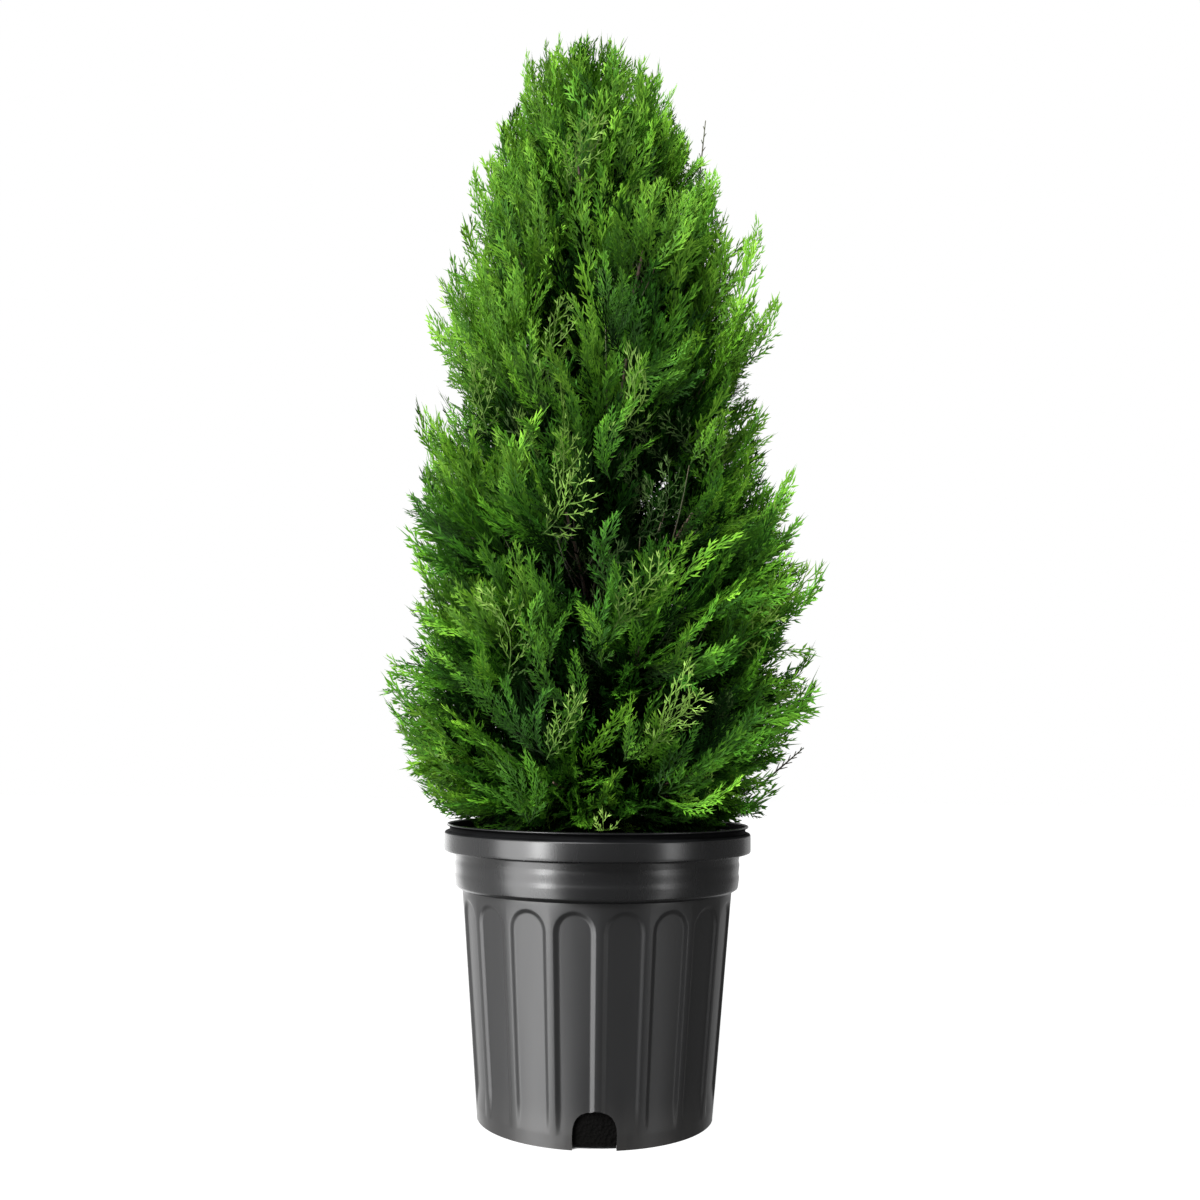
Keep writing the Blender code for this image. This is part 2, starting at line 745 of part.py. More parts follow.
def make_bough(mass, home, finish, guard):
    """The woody limb from the trunk to where the mass's stem begins, and the tree that keeps sprays off it."""
    margin = bough_tube(mass, "margin", home, CLEARANCE * 2)
    tree = tree_of(margin.data)
    bpy.data.objects.remove(margin)
    bough = bough_tube(mass, mass.bough_name, home)
    trim(bough, guard)
    bough.data.materials.append(finish)
    return tree


def main():
    clear_scene()
    plant = collection("potted_thuja")
    cutters = collection("pot_cutters")
    plastic = material("black_moulded_plastic", (0.045, 0.046, 0.048), 0.42)
    mix = material("bark_potting_mix", (0.055, 0.036, 0.022), 0.95)
    bark = material("thuja_bark", (0.20, 0.115, 0.070), 0.85)
    leaf = material("thuja_foliage", (0.090, 0.230, 0.040), 0.60)
    trunk_tube("trunk", 0.0, plant, bark)
    guard = solid_from_curve(trunk_tube("trunk_guard", CLEARANCE, cutters))
    for ring, (_, _, _, count, _, _) in enumerate(RINGS):
        for number in range(count):
            mass = Mass(ring, number)
            bough = make_bough(mass, plant, bark, guard) if mass.has_bough else None
            make_mass(mass, plant, leaf, bough, guard)
    bpy.data.objects.remove(guard)
    make_potting_mix(plant, mix)
    make_pot(plant, cutters, plastic)


main()
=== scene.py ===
"""The looks of a potted thuja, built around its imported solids."""

import math
import random

import bmesh
import bpy
import numpy as np
from mathutils import Matrix, Vector, noise


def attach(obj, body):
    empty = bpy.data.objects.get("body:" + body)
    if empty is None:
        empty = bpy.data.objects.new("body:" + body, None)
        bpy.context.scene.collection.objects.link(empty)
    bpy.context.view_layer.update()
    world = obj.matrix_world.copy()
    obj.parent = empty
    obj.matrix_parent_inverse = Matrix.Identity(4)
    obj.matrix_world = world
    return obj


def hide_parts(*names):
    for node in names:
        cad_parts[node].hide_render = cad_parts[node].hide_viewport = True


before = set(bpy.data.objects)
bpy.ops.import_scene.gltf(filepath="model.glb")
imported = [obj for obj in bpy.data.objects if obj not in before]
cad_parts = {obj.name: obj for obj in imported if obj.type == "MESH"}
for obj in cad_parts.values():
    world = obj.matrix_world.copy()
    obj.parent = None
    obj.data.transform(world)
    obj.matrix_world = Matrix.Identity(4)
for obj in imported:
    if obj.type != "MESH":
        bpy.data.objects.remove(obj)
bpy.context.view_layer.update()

bpy.ops.object.select_all(action="DESELECT")


# ---- The pot ----
# A five gallon nursery pot, blow moulded in black polyethylene. Eighteen arched panels are sunk in its wall,
# the rim is rolled out over a stepped collar, and four drain notches are cut through the foot.

RIM_RADIUS = 0.1525
LIP_RADIUS = 0.1505
COLLAR_RADIUS = 0.1418
BODY_TOP_RADIUS = 0.1335
BODY_FOOT_RADIUS = 0.1145
BODY_TOP_Z = 0.2150
POT_HEIGHT = 0.2785
FLOOR_THICKNESS = 0.0030
WALL_THICKNESS = 0.0042

PANEL_COUNT = 18
PANEL_PITCH = math.tau / PANEL_COUNT
PANEL_FIRST = math.radians(-90 + 11.3)
PANEL_HALF_ANGLE = math.radians(8.8)
PANEL_FOOT_Z = 0.0110
PANEL_TOP_Z = 0.2090
PANEL_BEAD = (  # width and depth of each step down from the wall to the panel's floor
    (0.0006, -0.00010),
    (0.0010, -0.00042),
    (0.0014, -0.00092),
    (0.0012, -0.00068),
    (0.0009, -0.00022),
    (0.0006, -0.00006),
)
SILL_CORNER = 0.0075  # room for the bead to turn at the panel's foot
SILL_FADE = 0.024  # height over which the panel sinks in from its foot
SILL_DEPTH = 0.06  # share of the panel's depth at its foot
WALL_COLUMNS = 12  # in each panel's share of the wall
MIDDLE_RADIUS = 0.124  # the wall's, where one panel is laid out flat

DRAIN_COUNT = 4
DRAIN_HALF_WIDTH = 0.0200
DRAIN_HEIGHT = 0.0330
DRAIN_REACH = 0.0200
DRAIN_STEPS = 24


def around(azimuth, radius, height):
    """The point at a bearing and a distance from the upright axis, at a height."""
    return Vector((radius * math.cos(azimuth), radius * math.sin(azimuth), height))


def body_radius(z):
    return BODY_FOOT_RADIUS + (BODY_TOP_RADIUS - BODY_FOOT_RADIUS) * z / BODY_TOP_Z


def edit(select="NOTHING"):
    """Opens the active object for editing and returns its live mesh, with nothing or all of it selected."""
    bpy.ops.object.mode_set(mode="EDIT")
    bpy.ops.mesh.select_mode(type="VERT")
    bpy.ops.mesh.select_all(action="SELECT" if select == "ALL" else "DESELECT")
    return bmesh.from_edit_mesh(bpy.context.object.data)


def leave_edit():
    bpy.ops.object.mode_set(mode="OBJECT")
    bpy.ops.object.select_all(action="DESELECT")


def make_active(item):
    bpy.ops.object.select_all(action="DESELECT")
    item.select_set(True)
    bpy.context.view_layer.objects.active = item


def settle(item):
    """Leaves the object's place in its mesh."""
    make_active(item)
    bpy.ops.object.transform_apply(location=True, rotation=True, scale=True)
    bpy.ops.object.select_all(action="DESELECT")


# One panel with its share of the wall is modelled flat, its depth along Z, and then laid round the wall.
bpy.ops.mesh.primitive_circle_add(vertices=2 * (WALL_COLUMNS + 1), radius=1.0, fill_type="NGON")
pot = bpy.context.object
pot.name = pot.data.name = "pot_body"
shape = edit()
shape.verts.ensure_lookup_table()
half = PANEL_HALF_ANGLE * MIDDLE_RADIUS
spring = PANEL_TOP_Z - half * 1.05
outline = sorted(shape.verts, key=lambda v: math.atan2(v.co.y, v.co.x) % math.tau)
wall_edge = []
for i, corner in enumerate(outline):
    if i <= WALL_COLUMNS:
        turn = math.pi * i / WALL_COLUMNS
        corner.co = (half * math.cos(turn), spring + (PANEL_TOP_Z - spring) * math.sin(turn), 0.0)
        wall_edge.append((PANEL_PITCH * MIDDLE_RADIUS * (0.5 - i / WALL_COLUMNS), BODY_TOP_Z))
    else:
        place = (i - WALL_COLUMNS - 1) / WALL_COLUMNS
        across = (half - SILL_CORNER) * (2 * place - 1) * WALL_COLUMNS / (WALL_COLUMNS - 2)
        corner.co = (half * (2 * place - 1) if place in (0, 1) else across, PANEL_FOOT_Z, 0.0)
        wall_edge.append((PANEL_PITCH * MIDDLE_RADIUS * (place - 0.5), 0.0))
surround = [shape.verts.new((x, z, 0.0)) for x, z in wall_edge]
for i, corner in enumerate(outline):
    j = (i + 1) % len(outline)
    shape.faces.new((corner, surround[i], surround[j], outline[j]))
panel_face = max(shape.faces, key=lambda face: len(face.verts))
panel_face.select = True
bmesh.update_edit_mesh(pot.data)
bpy.ops.mesh.select_mode(type="FACE")
for width, depth in PANEL_BEAD:
    bpy.ops.mesh.inset(thickness=width, depth=depth, use_even_offset=True)
shape = bmesh.from_edit_mesh(pot.data)
floor_face = max(shape.faces, key=lambda face: len(face.verts))
across = sorted(floor_face.verts, key=lambda v: v.co.x)
arch = [v for v in across if v.co.y > spring / 2]
sill = [v for v in across if v.co.y < spring / 2]
bpy.ops.mesh.select_mode(type="VERT")
for top, bottom in zip(arch[1:-1], sill[1:-1]):
    bpy.ops.mesh.select_all(action="DESELECT")
    top.select = bottom.select = True
    bpy.ops.mesh.vert_connect()
for z in (PANEL_FOOT_Z + 0.011, PANEL_FOOT_Z + SILL_FADE):
    bpy.ops.mesh.select_all(action="SELECT")
    bpy.ops.mesh.bisect(plane_co=(0, z, 0), plane_no=(0, 1, 0))
leave_edit()

sector = [v.co.copy() for v in pot.data.vertices]
for corner, flat in zip(pot.data.vertices, sector):
    angle = PANEL_FIRST + flat.x / MIDDLE_RADIUS
    fade = min(1.0, max(0.0, (flat.y - PANEL_FOOT_Z) / SILL_FADE))
    radius = body_radius(flat.y) + flat.z * (SILL_DEPTH + (1 - SILL_DEPTH) * fade * fade * (3 - 2 * fade))
    corner.co = around(angle, radius, flat.y)
make_active(pot)
edit("ALL")
bpy.ops.mesh.spin(steps=PANEL_COUNT, dupli=True, angle=math.tau, center=(0, 0, 0), axis=(0, 0, 1))
leave_edit()

# The rim, collar, inside and floor are one profile spun round, and so is the underside.
UPPER_PROFILE = (
    (BODY_TOP_RADIUS, BODY_TOP_Z),
    (BODY_TOP_RADIUS + 0.0012, BODY_TOP_Z + 0.0002),
    (COLLAR_RADIUS - 0.0034, 0.2174),
    (COLLAR_RADIUS - 0.0024, 0.2182),
    (COLLAR_RADIUS - 0.0019, 0.2196),
    (COLLAR_RADIUS - 0.0013, 0.2240),
    (COLLAR_RADIUS - 0.0009, 0.2274),
    (COLLAR_RADIUS - 0.0008, 0.2286),
    (COLLAR_RADIUS - 0.0009, 0.2296),
    (COLLAR_RADIUS - 0.0011, 0.2306),
    (COLLAR_RADIUS - 0.0013, 0.2317),
    (COLLAR_RADIUS - 0.0013, 0.2327),
    (COLLAR_RADIUS - 0.0009, 0.2364),
    (COLLAR_RADIUS - 0.0005, 0.2398),
    (COLLAR_RADIUS - 0.0005, 0.2409),
    (COLLAR_RADIUS - 0.0006, 0.2419),
    (COLLAR_RADIUS - 0.0009, 0.2431),
    (COLLAR_RADIUS - 0.0011, 0.2442),
    (COLLAR_RADIUS - 0.0010, 0.2452),
    (COLLAR_RADIUS - 0.0005, 0.2478),
    (COLLAR_RADIUS - 0.0001, 0.2494),
    (COLLAR_RADIUS + 0.0001, 0.2507),
    (COLLAR_RADIUS + 0.0008, 0.2516),
    (COLLAR_RADIUS + 0.0024, 0.2521),
    (RIM_RADIUS - 0.0018, 0.2524),
    (RIM_RADIUS - 0.0005, 0.2530),
    (RIM_RADIUS - 0.0001, 0.2540),
    (RIM_RADIUS, 0.2556),
    (RIM_RADIUS, 0.2686),
    (RIM_RADIUS - 0.0003, 0.2699),
    (RIM_RADIUS - 0.0011, 0.2709),
    (RIM_RADIUS - 0.0024, 0.2714),
    (LIP_RADIUS - 0.0026, 0.2718),
    (LIP_RADIUS - 0.0031, 0.2725),
    (LIP_RADIUS - 0.0031, 0.2750),
    (LIP_RADIUS - 0.0025, 0.2757),
    (LIP_RADIUS - 0.0010, 0.2763),
    (LIP_RADIUS - 0.0001, 0.2770),
    (LIP_RADIUS - 0.0001, 0.2778),
    (LIP_RADIUS - 0.0007, 0.2784),
    (LIP_RADIUS - 0.0015, POT_HEIGHT),
    (LIP_RADIUS - 0.0024, 0.2783),
    (LIP_RADIUS - 0.0031, 0.2775),
    (LIP_RADIUS - 0.0036, 0.2760),
    (LIP_RADIUS - 0.0058, 0.2585),
    (LIP_RADIUS - 0.0066, 0.2566),
    (COLLAR_RADIUS - 0.0036, 0.2516),
    (COLLAR_RADIUS - 0.0042, 0.2500),
    (BODY_TOP_RADIUS - WALL_THICKNESS, BODY_TOP_Z - 0.002),
    (body_radius(0.006) - WALL_THICKNESS, 0.0060),
    (body_radius(FLOOR_THICKNESS) - WALL_THICKNESS - 0.0030, FLOOR_THICKNESS),
    (0.0, FLOOR_THICKNESS),
)
UNDER_PROFILE = (
    (BODY_FOOT_RADIUS, 0.0),
    (BODY_FOOT_RADIUS - 0.004, 0.0),
    (BODY_FOOT_RADIUS - 0.006, 0.0012),
    (0.0, 0.0012),
)


def spun(name, profile, steps, first_angle):
    """A profile drawn out point by point from one vertex, and spun round the upright axis."""
    bpy.ops.mesh.primitive_plane_add(size=0.001)
    item = bpy.context.object
    item.name = item.data.name = name
    edit("ALL")
    bpy.ops.mesh.merge(type="CENTER")
    across = around(first_angle, 1.0, 0.0)
    places = [across * radius + Vector((0.0, 0.0, z)) for radius, z in profile]
    bpy.ops.mesh.select_all(action="SELECT")
    bpy.ops.transform.translate(value=places[0])
    for here, there in zip(places, places[1:]):
        bpy.ops.mesh.extrude_region_move(TRANSFORM_OT_translate={"value": there - here})
    bpy.ops.mesh.select_all(action="SELECT")
    bpy.ops.mesh.spin(steps=steps, angle=math.tau, center=(0, 0, 0), axis=(0, 0, 1))
    bpy.ops.mesh.select_all(action="SELECT")
    bpy.ops.mesh.remove_doubles(threshold=0.00001)
    leave_edit()
    return item


wall_steps = PANEL_COUNT * WALL_COLUMNS
first_column = PANEL_FIRST - PANEL_PITCH / 2
upper = spun("pot_upper", UPPER_PROFILE, wall_steps, first_column)
under = spun("pot_under", UNDER_PROFILE, wall_steps, first_column)
make_active(pot)
upper.select_set(True)
under.select_set(True)
bpy.ops.object.join()
edit("ALL")
bpy.ops.mesh.remove_doubles(threshold=0.00003)
bpy.ops.mesh.normals_make_consistent(inside=False)
leave_edit()

# Each drain notch is an arch that flares a little where it meets the outside, which leaves its edge eased.
drains = []
for i in range(DRAIN_COUNT):
    bpy.ops.mesh.primitive_circle_add(vertices=DRAIN_STEPS, radius=1.0, fill_type="NGON")
    cutter = bpy.context.object
    shape = edit()
    ring = sorted(shape.verts, key=lambda v: math.atan2(v.co.y, v.co.x) % math.tau)
    for k, corner in enumerate(ring):
        turn = math.tau * k / DRAIN_STEPS
        if turn <= math.pi + 0.001:
            y = math.copysign(abs(math.cos(turn)) ** 0.72, math.cos(turn))
            z = DRAIN_HEIGHT * 0.36 + DRAIN_HEIGHT * 0.64 * max(0.0, math.sin(turn)) ** 0.80
        else:
            y, z = math.cos(turn), -0.006
        corner.co = (body_radius(z) - DRAIN_REACH, y * DRAIN_HALF_WIDTH, z)
    bmesh.update_edit_mesh(cutter.data)
    bpy.ops.mesh.select_all(action="SELECT")
    bpy.ops.mesh.extrude_region_move(TRANSFORM_OT_translate={"value": (DRAIN_REACH - 0.0016, 0, 0)})
    bpy.ops.mesh.extrude_region_move(TRANSFORM_OT_translate={"value": (0.0040, 0, 0)})
    bpy.ops.transform.resize(value=(1, 1.16, 1.09), center_override=(0, 0, 0))
    bpy.ops.mesh.extrude_region_move(TRANSFORM_OT_translate={"value": (0.0100, 0, 0)})
    bpy.ops.mesh.select_all(action="SELECT")
    bpy.ops.mesh.normals_make_consistent(inside=False)
    leave_edit()
    cutter.rotation_euler = (0, 0, math.tau * (i - 1) / DRAIN_COUNT)
    settle(cutter)
    cut = pot.modifiers.new("drain", "BOOLEAN")
    cut.operation = "DIFFERENCE"
    cut.solver = "MANIFOLD"
    cut.object = cutter
    drains.append(cutter)
make_active(pot)
for cut in list(pot.modifiers):
    bpy.ops.object.modifier_apply(modifier=cut.name)
for cutter in drains:
    bpy.data.objects.remove(cutter)


def smooth(item, degrees):
    """Shades an object smooth wherever its faces meet at less than an angle."""
    make_active(item)
    bpy.ops.object.shade_smooth_by_angle(angle=math.radians(degrees))


smooth(pot, 38)


class Finish:
    """A material in the making. Each step adds a node and hands on what comes out of it."""

    def __init__(self, name):
        self.material = bpy.data.materials.new(name)
        self.material.use_nodes = True
        self.nodes = self.material.node_tree.nodes
        self.links = self.material.node_tree.links
        self.shader = self.nodes["Principled BSDF"]
        self.place = self.step("TexCoord", "Object")

    def fill(self, node, inputs):
        """Sets inputs of a node, or links those that are given what comes out of another step."""
        for name, given in inputs.items():
            if isinstance(given, bpy.types.NodeSocket):
                self.links.new(given, node.inputs[name])
            else:
                node.inputs[name].default_value = given

    def step(self, kind, result, inputs=None, **settings):
        node = self.nodes.new("ShaderNode" + kind)
        for name, setting in settings.items():
            setattr(node, name, setting)
        self.fill(node, inputs or {})
        return node.outputs[result]

    def height(self):
        return self.step("SeparateXYZ", "Z", {"Vector": self.place})

    def stretched(self, across, upwards):
        """The place on the object, with a scale of its own across and upwards."""
        return self.step("Mapping", "Vector", {"Vector": self.place, "Scale": (across, across, upwards)})

    def grain(self, place, scale, detail, distortion=0.0):
        inputs = {"Vector": place, "Scale": scale, "Detail": detail, "Distortion": distortion}
        return self.step("TexNoise", "Fac", inputs)

    def ease(self, given, low, high, first=0.0, last=1.0):
        """Runs from first to last while what is given runs from low to high."""
        inputs = {"Value": given, "From Min": low, "From Max": high, "To Min": first, "To Max": last}
        return self.step("MapRange", "Result", inputs)

    def times(self, one, other):
        return self.step("Math", "Value", {0: one, 1: other}, operation="MULTIPLY")

    def blend(self, share, one, other):
        return self.step("Mix", "Result", {"Factor": share, "A": one, "B": other}, data_type="RGBA")

    def tones(self, share, *stops):
        """Runs through the colours of (place, colour) stops."""
        result = self.step("ValToRGB", "Color", {"Fac": share})
        elements = result.node.color_ramp.elements
        for place, _ in stops[1:-1]:
            elements.new(place)
        for element, (place, colour) in zip(elements, stops):
            element.position = place
            element.color = (*colour, 1)
        return result

    def surface(self, inputs):
        self.fill(self.shader, inputs)

    def relief(self, height, strength, depth):
        inputs = {"Height": height, "Strength": strength, "Distance": depth}
        self.surface({"Normal": self.step("Bump", "Normal", inputs)})


def paint(item, finish):
    item.data.materials.clear()
    item.data.materials.append(finish.material)


# The plastic has a faint orange peel from the mould, drag marks up its wall and a little dust about its foot.
# The collar and rim are a little more polished than the wall, and the neck between rim and lip is matt.
NECK_FOOT = 0.2690
NECK_TOP = 0.2770
BLACK = (0.0042, 0.0043, 0.0046, 1)
DUST = (0.014, 0.013, 0.012, 1)
DUST_TOP = 0.045

plastic = Finish("black_moulded_polyethylene")
height = plastic.height()
drag = plastic.grain(plastic.stretched(60.0, 7.0), 2.2, 4.0)
dusty = plastic.times(plastic.ease(height, DUST_TOP, 0.0), drag)
polished = plastic.ease(height, BODY_TOP_Z - 0.004, BODY_TOP_Z + 0.004, 1.0, 0.66)
rough = plastic.times(plastic.ease(drag, 0.3, 0.7, 0.40, 0.42), polished)
above = plastic.ease(height, NECK_FOOT, NECK_FOOT + 0.0012)
below = plastic.ease(height, NECK_TOP, NECK_TOP + 0.0007, 1.0, 0.0)
neck = plastic.times(above, below)
plastic.surface({
    "Base Color": plastic.blend(dusty, BLACK, DUST),
    "Roughness": plastic.step("Mix", "Result", {"Factor": neck, "A": rough, "B": 0.62}),
    "Specular IOR Level": plastic.ease(neck, 0.0, 1.0, 0.42, 0.01),
})
plastic.relief(plastic.grain(plastic.place, 900.0, 2.0), 0.05, 0.0003)
paint(pot, plastic)
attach(pot, "root")
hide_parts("pot")


# ---- The potting mix ----
# A peat and composted bark mix, filled to a little under the rim. Bark chips lie loose on its surface, and
# the mix below them is pressed against the wall.

MIX_TOP = 0.2460
MIX_DOME = 0.0030
MIX_EDGE = 0.1345

mix = Finish("peat_and_bark")
damp = mix.grain(mix.place, 45.0, 5.0)
# The mix is near black low down and takes its loose tones towards its top.
upward_share = mix.ease(mix.height(), 0.19, 0.245)
loose = mix.tones(damp, (0.30, (0.010, 0.007, 0.005)), (0.75, (0.075, 0.045, 0.026)))
mix.surface({
    "Base Color": mix.blend(upward_share, (0.0009, 0.0008, 0.0007, 1), loose),
    "Roughness": 0.95,
    "Specular IOR Level": 0.04,
})
mix.relief(mix.step("TexVoronoi", "Distance", {"Vector": mix.place, "Scale": 330.0}), 0.8, 0.0015)
paint(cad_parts["potting_mix"], mix)

CHIP_COUNT = 620
CHIP_TILT = 0.22
GOLDEN_ANGLE = 2.399963  # radians

# One bark chip is a crooked slab, tapered and bent. The loose layer is that chip copied by the hundred.
bpy.ops.mesh.primitive_cube_add(size=1.0)
chip = bpy.context.object
edit("ALL")
bpy.ops.mesh.subdivide(number_cuts=1)
leave_edit()
dice = random.Random(5)
chip_corners = np.array([
    (v.co.x * (1 - 0.55 * abs(v.co.y)), v.co.y, v.co.z * 0.55 + 0.35 * v.co.y ** 2)
    for v in chip.data.vertices
])
chip_corners += np.array([[dice.uniform(-0.07, 0.07) for _ in range(3)] for _ in chip_corners])
chip_faces = [tuple(face.vertices) for face in chip.data.polygons]
bpy.data.objects.remove(chip)

places, faces = [], []
for i in range(CHIP_COUNT):
    radius = MIX_EDGE * math.sqrt((i + 0.5) / CHIP_COUNT) * 0.97
    angle = i * GOLDEN_ANGLE + dice.uniform(-0.3, 0.3)
    length = dice.uniform(0.006, 0.015)
    width = dice.uniform(0.003, 0.007)
    thick = dice.uniform(0.0015, 0.003)
    turn = Matrix.Rotation(dice.uniform(0, math.tau), 3, "Z")
    turn = turn @ Matrix.Rotation(dice.gauss(0, CHIP_TILT), 3, "X")
    turn = turn @ Matrix.Rotation(dice.gauss(0, CHIP_TILT), 3, "Y")
    size = np.array((width, length, thick))
    dome = MIX_DOME * max(0.0, 1 - radius / MIX_EDGE)
    centre = np.array((radius * math.cos(angle), radius * math.sin(angle), MIX_TOP + dome + thick * 0.45))
    first = len(places) * len(chip_corners)
    places.append((chip_corners * size) @ np.array(turn).T + centre)
    faces += [tuple(first + k for k in face) for face in chip_faces]
mesh = bpy.data.meshes.new("bark_chips")
mesh.from_pydata(np.concatenate(places).tolist(), [], faces)
chips = bpy.data.objects.new("bark_chips", mesh)
bpy.context.scene.collection.objects.link(chips)

chip_bark = Finish("pine_bark_chips")
flakes = chip_bark.grain(chip_bark.place, 120.0, 6.0)
tone = chip_bark.tones(flakes, (0.32, (0.018, 0.011, 0.007)), (0.72, (0.150, 0.078, 0.042)))
chip_bark.surface({"Base Color": tone, "Roughness": 0.9})
chip_bark.relief(flakes, 0.5, 0.0008)
paint(chips, chip_bark)
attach(chips, "root")


# ---- The trunk and boughs ----
# One stem, a finger thick, that flares into the mix and tapers to the leader, with boughs from it in rings.
# Thuja bark is thin, reddish brown, and shreds in long strips that leave shallow furrows.

TRUNK_FOOT = MIX_TOP + MIX_DOME + 0.0003
TRUNK_TIP = 0.9200
TRUNK_RADIUS = 0.0105
TRUNK_TIP_RADIUS = 0.0028
FLARE_RADIUS = 0.0165
FLARE_HEIGHT = 0.0350
TRUNK_LEAN = -0.0200
TRUNK_SWAY = 0.0040

CROWN_TOP = 1.1340
CROWN_SPREAD = 1.04
CROWN_LEFT = (  # height and reach of the longest shoots
    (0.272, 0.142),
    (0.298, 0.174),
    (0.370, 0.211),
    (0.443, 0.228),
    (0.505, 0.200),
    (0.593, 0.213),
    (0.644, 0.193),
    (0.721, 0.199),
    (0.760, 0.170),
    (0.813, 0.190),
    (0.866, 0.166),
    (0.974, 0.148),
    (1.029, 0.120),
    (1.113, 0.089),
    (CROWN_TOP, 0.027),
)
CROWN_RIGHT = (
    (0.272, 0.142),
    (0.298, 0.166),
    (0.370, 0.206),
    (0.431, 0.229),
    (0.480, 0.208),
    (0.542, 0.231),
    (0.618, 0.196),
    (0.682, 0.182),
    (0.734, 0.163),
    (0.826, 0.185),
    (0.866, 0.154),
    (0.934, 0.165),
    (0.974, 0.122),
    (1.029, 0.109),
    (1.085, 0.067),
    (CROWN_TOP, 0.007),
)
RINGS = (  # lower edge on the trunk and its rise, limbs, first azimuth, whether boughs, twigs to each
    (0.2620, 8, 6, 12, False, 14),
    (0.3300, 20, 6, -14, True, 16),
    (0.4200, 36, 6, 16, True, 15),
    (0.5200, 49, 5, -6, True, 14),
    (0.6300, 59, 4, 28, True, 13),
    (0.7450, 67, 3, 8, False, 10),
    (0.8500, 73, 1, 0, False, 22),
)
TOP_RING = len(RINGS) - 1
AXIS_BOW = 0.25
BOUGH_SHARE = 0.28  # of a limb that is stout enough to be a bough
BOUGH_RADIUS = 0.0036
STEM_SHARE = 0.64  # of a limb that its stem runs along
STEM_KNOTS = 15
TRUNK_KNOTS = 91


def between(pairs, at):
    """Straight-line reading of a table of (place, value) pairs."""
    for (low, first), (high, last) in zip(pairs, pairs[1:]):
        if at <= high:
            share = max(0.0, (at - low) / (high - low))
            return first + (last - first) * share
    return pairs[-1][1]


def trunk_centre(z):
    share = (z - TRUNK_FOOT) / (CROWN_TOP - TRUNK_FOOT)
    sway = TRUNK_SWAY * math.sin(2.6 * math.pi * share)
    return Vector((TRUNK_LEAN * share ** 1.5 if share > 0 else 0.0, sway, z))


def trunk_radius(z):
    share = (z - TRUNK_FOOT) / (TRUNK_TIP - TRUNK_FOOT)
    flare = max(0.0, 1 - (z - TRUNK_FOOT) / FLARE_HEIGHT)
    plain = TRUNK_RADIUS + (TRUNK_TIP_RADIUS - TRUNK_RADIUS) * share
    return plain + (FLARE_RADIUS - TRUNK_RADIUS) * flare ** 2


def crown_radius(z, azimuth):
    """Reach of the crown at a height, blended from its two sides round the front and the back."""
    right = (1 + math.cos(azimuth)) / 2
    return (between(CROWN_LEFT, z) * (1 - right) + between(CROWN_RIGHT, z) * right) * CROWN_SPREAD


def ring_middle(ring, share):
    """Height on the axis and slope of the surface at a share of the way up through a ring."""
    low, low_rise = RINGS[ring][:2]
    high, high_rise = RINGS[ring + 1][:2]
    return low + (high - low) * share, math.tan(math.radians(low_rise + (high_rise - low_rise) * share))


def on_outline(ring, share, azimuth, reach=1.0, outline=crown_radius):
    """The point where a ring's surface meets the crown's outline."""
    height, slope = ring_middle(ring, share)
    radius = 0.1
    for _ in range(30):
        radius = (radius + outline(height + radius * slope, azimuth)) / 2
    radius *= reach
    return around(azimuth, radius, height + radius * slope)


class Limb:
    """A bough with its stem: its place in the crown and its line from the trunk to its tip."""

    def __init__(self, ring, number):
        _, _, count, first, self.has_bough, self.twig_count = RINGS[ring]
        self.ring = ring
        self.is_top = ring == TOP_RING
        self.dice = random.Random(100 * ring + number)
        self.azimuth = math.radians(first) + number * math.tau / count
        self.half_angle = math.pi / count
        if self.is_top:
            self.start = trunk_centre(TRUNK_TIP + 0.0003)
            self.end = trunk_centre(CROWN_TOP - 0.006)
            return
        height, _ = ring_middle(ring, self.dice.uniform(0.40, 0.55))
        self.end = on_outline(ring, self.dice.uniform(0.45, 0.60), self.azimuth)
        self.start = trunk_centre(height)

    def along(self, share):
        """A point on the limb, which bends upwards on its way out."""
        line = self.end - self.start
        rise = 0.0 if self.is_top else AXIS_BOW * line.z * (share * share - share)
        return self.start + line * share + Vector((0, 0, rise))


def limb_tubes(name, lines, sides_step, finish):
    """Tapering limbs along lines of (point, radius), all in one mesh."""
    curve = bpy.data.curves.new(name, "CURVE")
    curve.dimensions = "3D"
    curve.bevel_depth = 1.0
    curve.bevel_resolution = sides_step
    curve.use_fill_caps = True
    for line in lines:
        spline = curve.splines.new("POLY")
        spline.points.add(len(line) - 1)
        for knot, (point, radius) in zip(spline.points, line):
            knot.co = (*point, 1.0)
            knot.radius = radius
    item = bpy.data.objects.new(name, curve)
    bpy.context.scene.collection.objects.link(item)
    make_active(item)
    bpy.ops.object.convert(target="MESH")
    item = bpy.context.object
    item.name = item.data.name = name
    edit("ALL")
    bpy.ops.mesh.remove_doubles(threshold=0.00001)
    bpy.ops.mesh.normals_make_consistent(inside=False)
    leave_edit()
    paint(item, finish)
    return item


bark = Finish("shredding_thuja_bark")
strips = bark.grain(bark.stretched(9.0, 1.0), 60.0, 6.0, 0.3)
tone = bark.tones(strips, (0.34, (0.018, 0.009, 0.006)), (0.70, (0.110, 0.064, 0.038)))
bark.surface({"Base Color": tone, "Roughness": 0.88})
bark.relief(strips, 0.8, 0.0010)

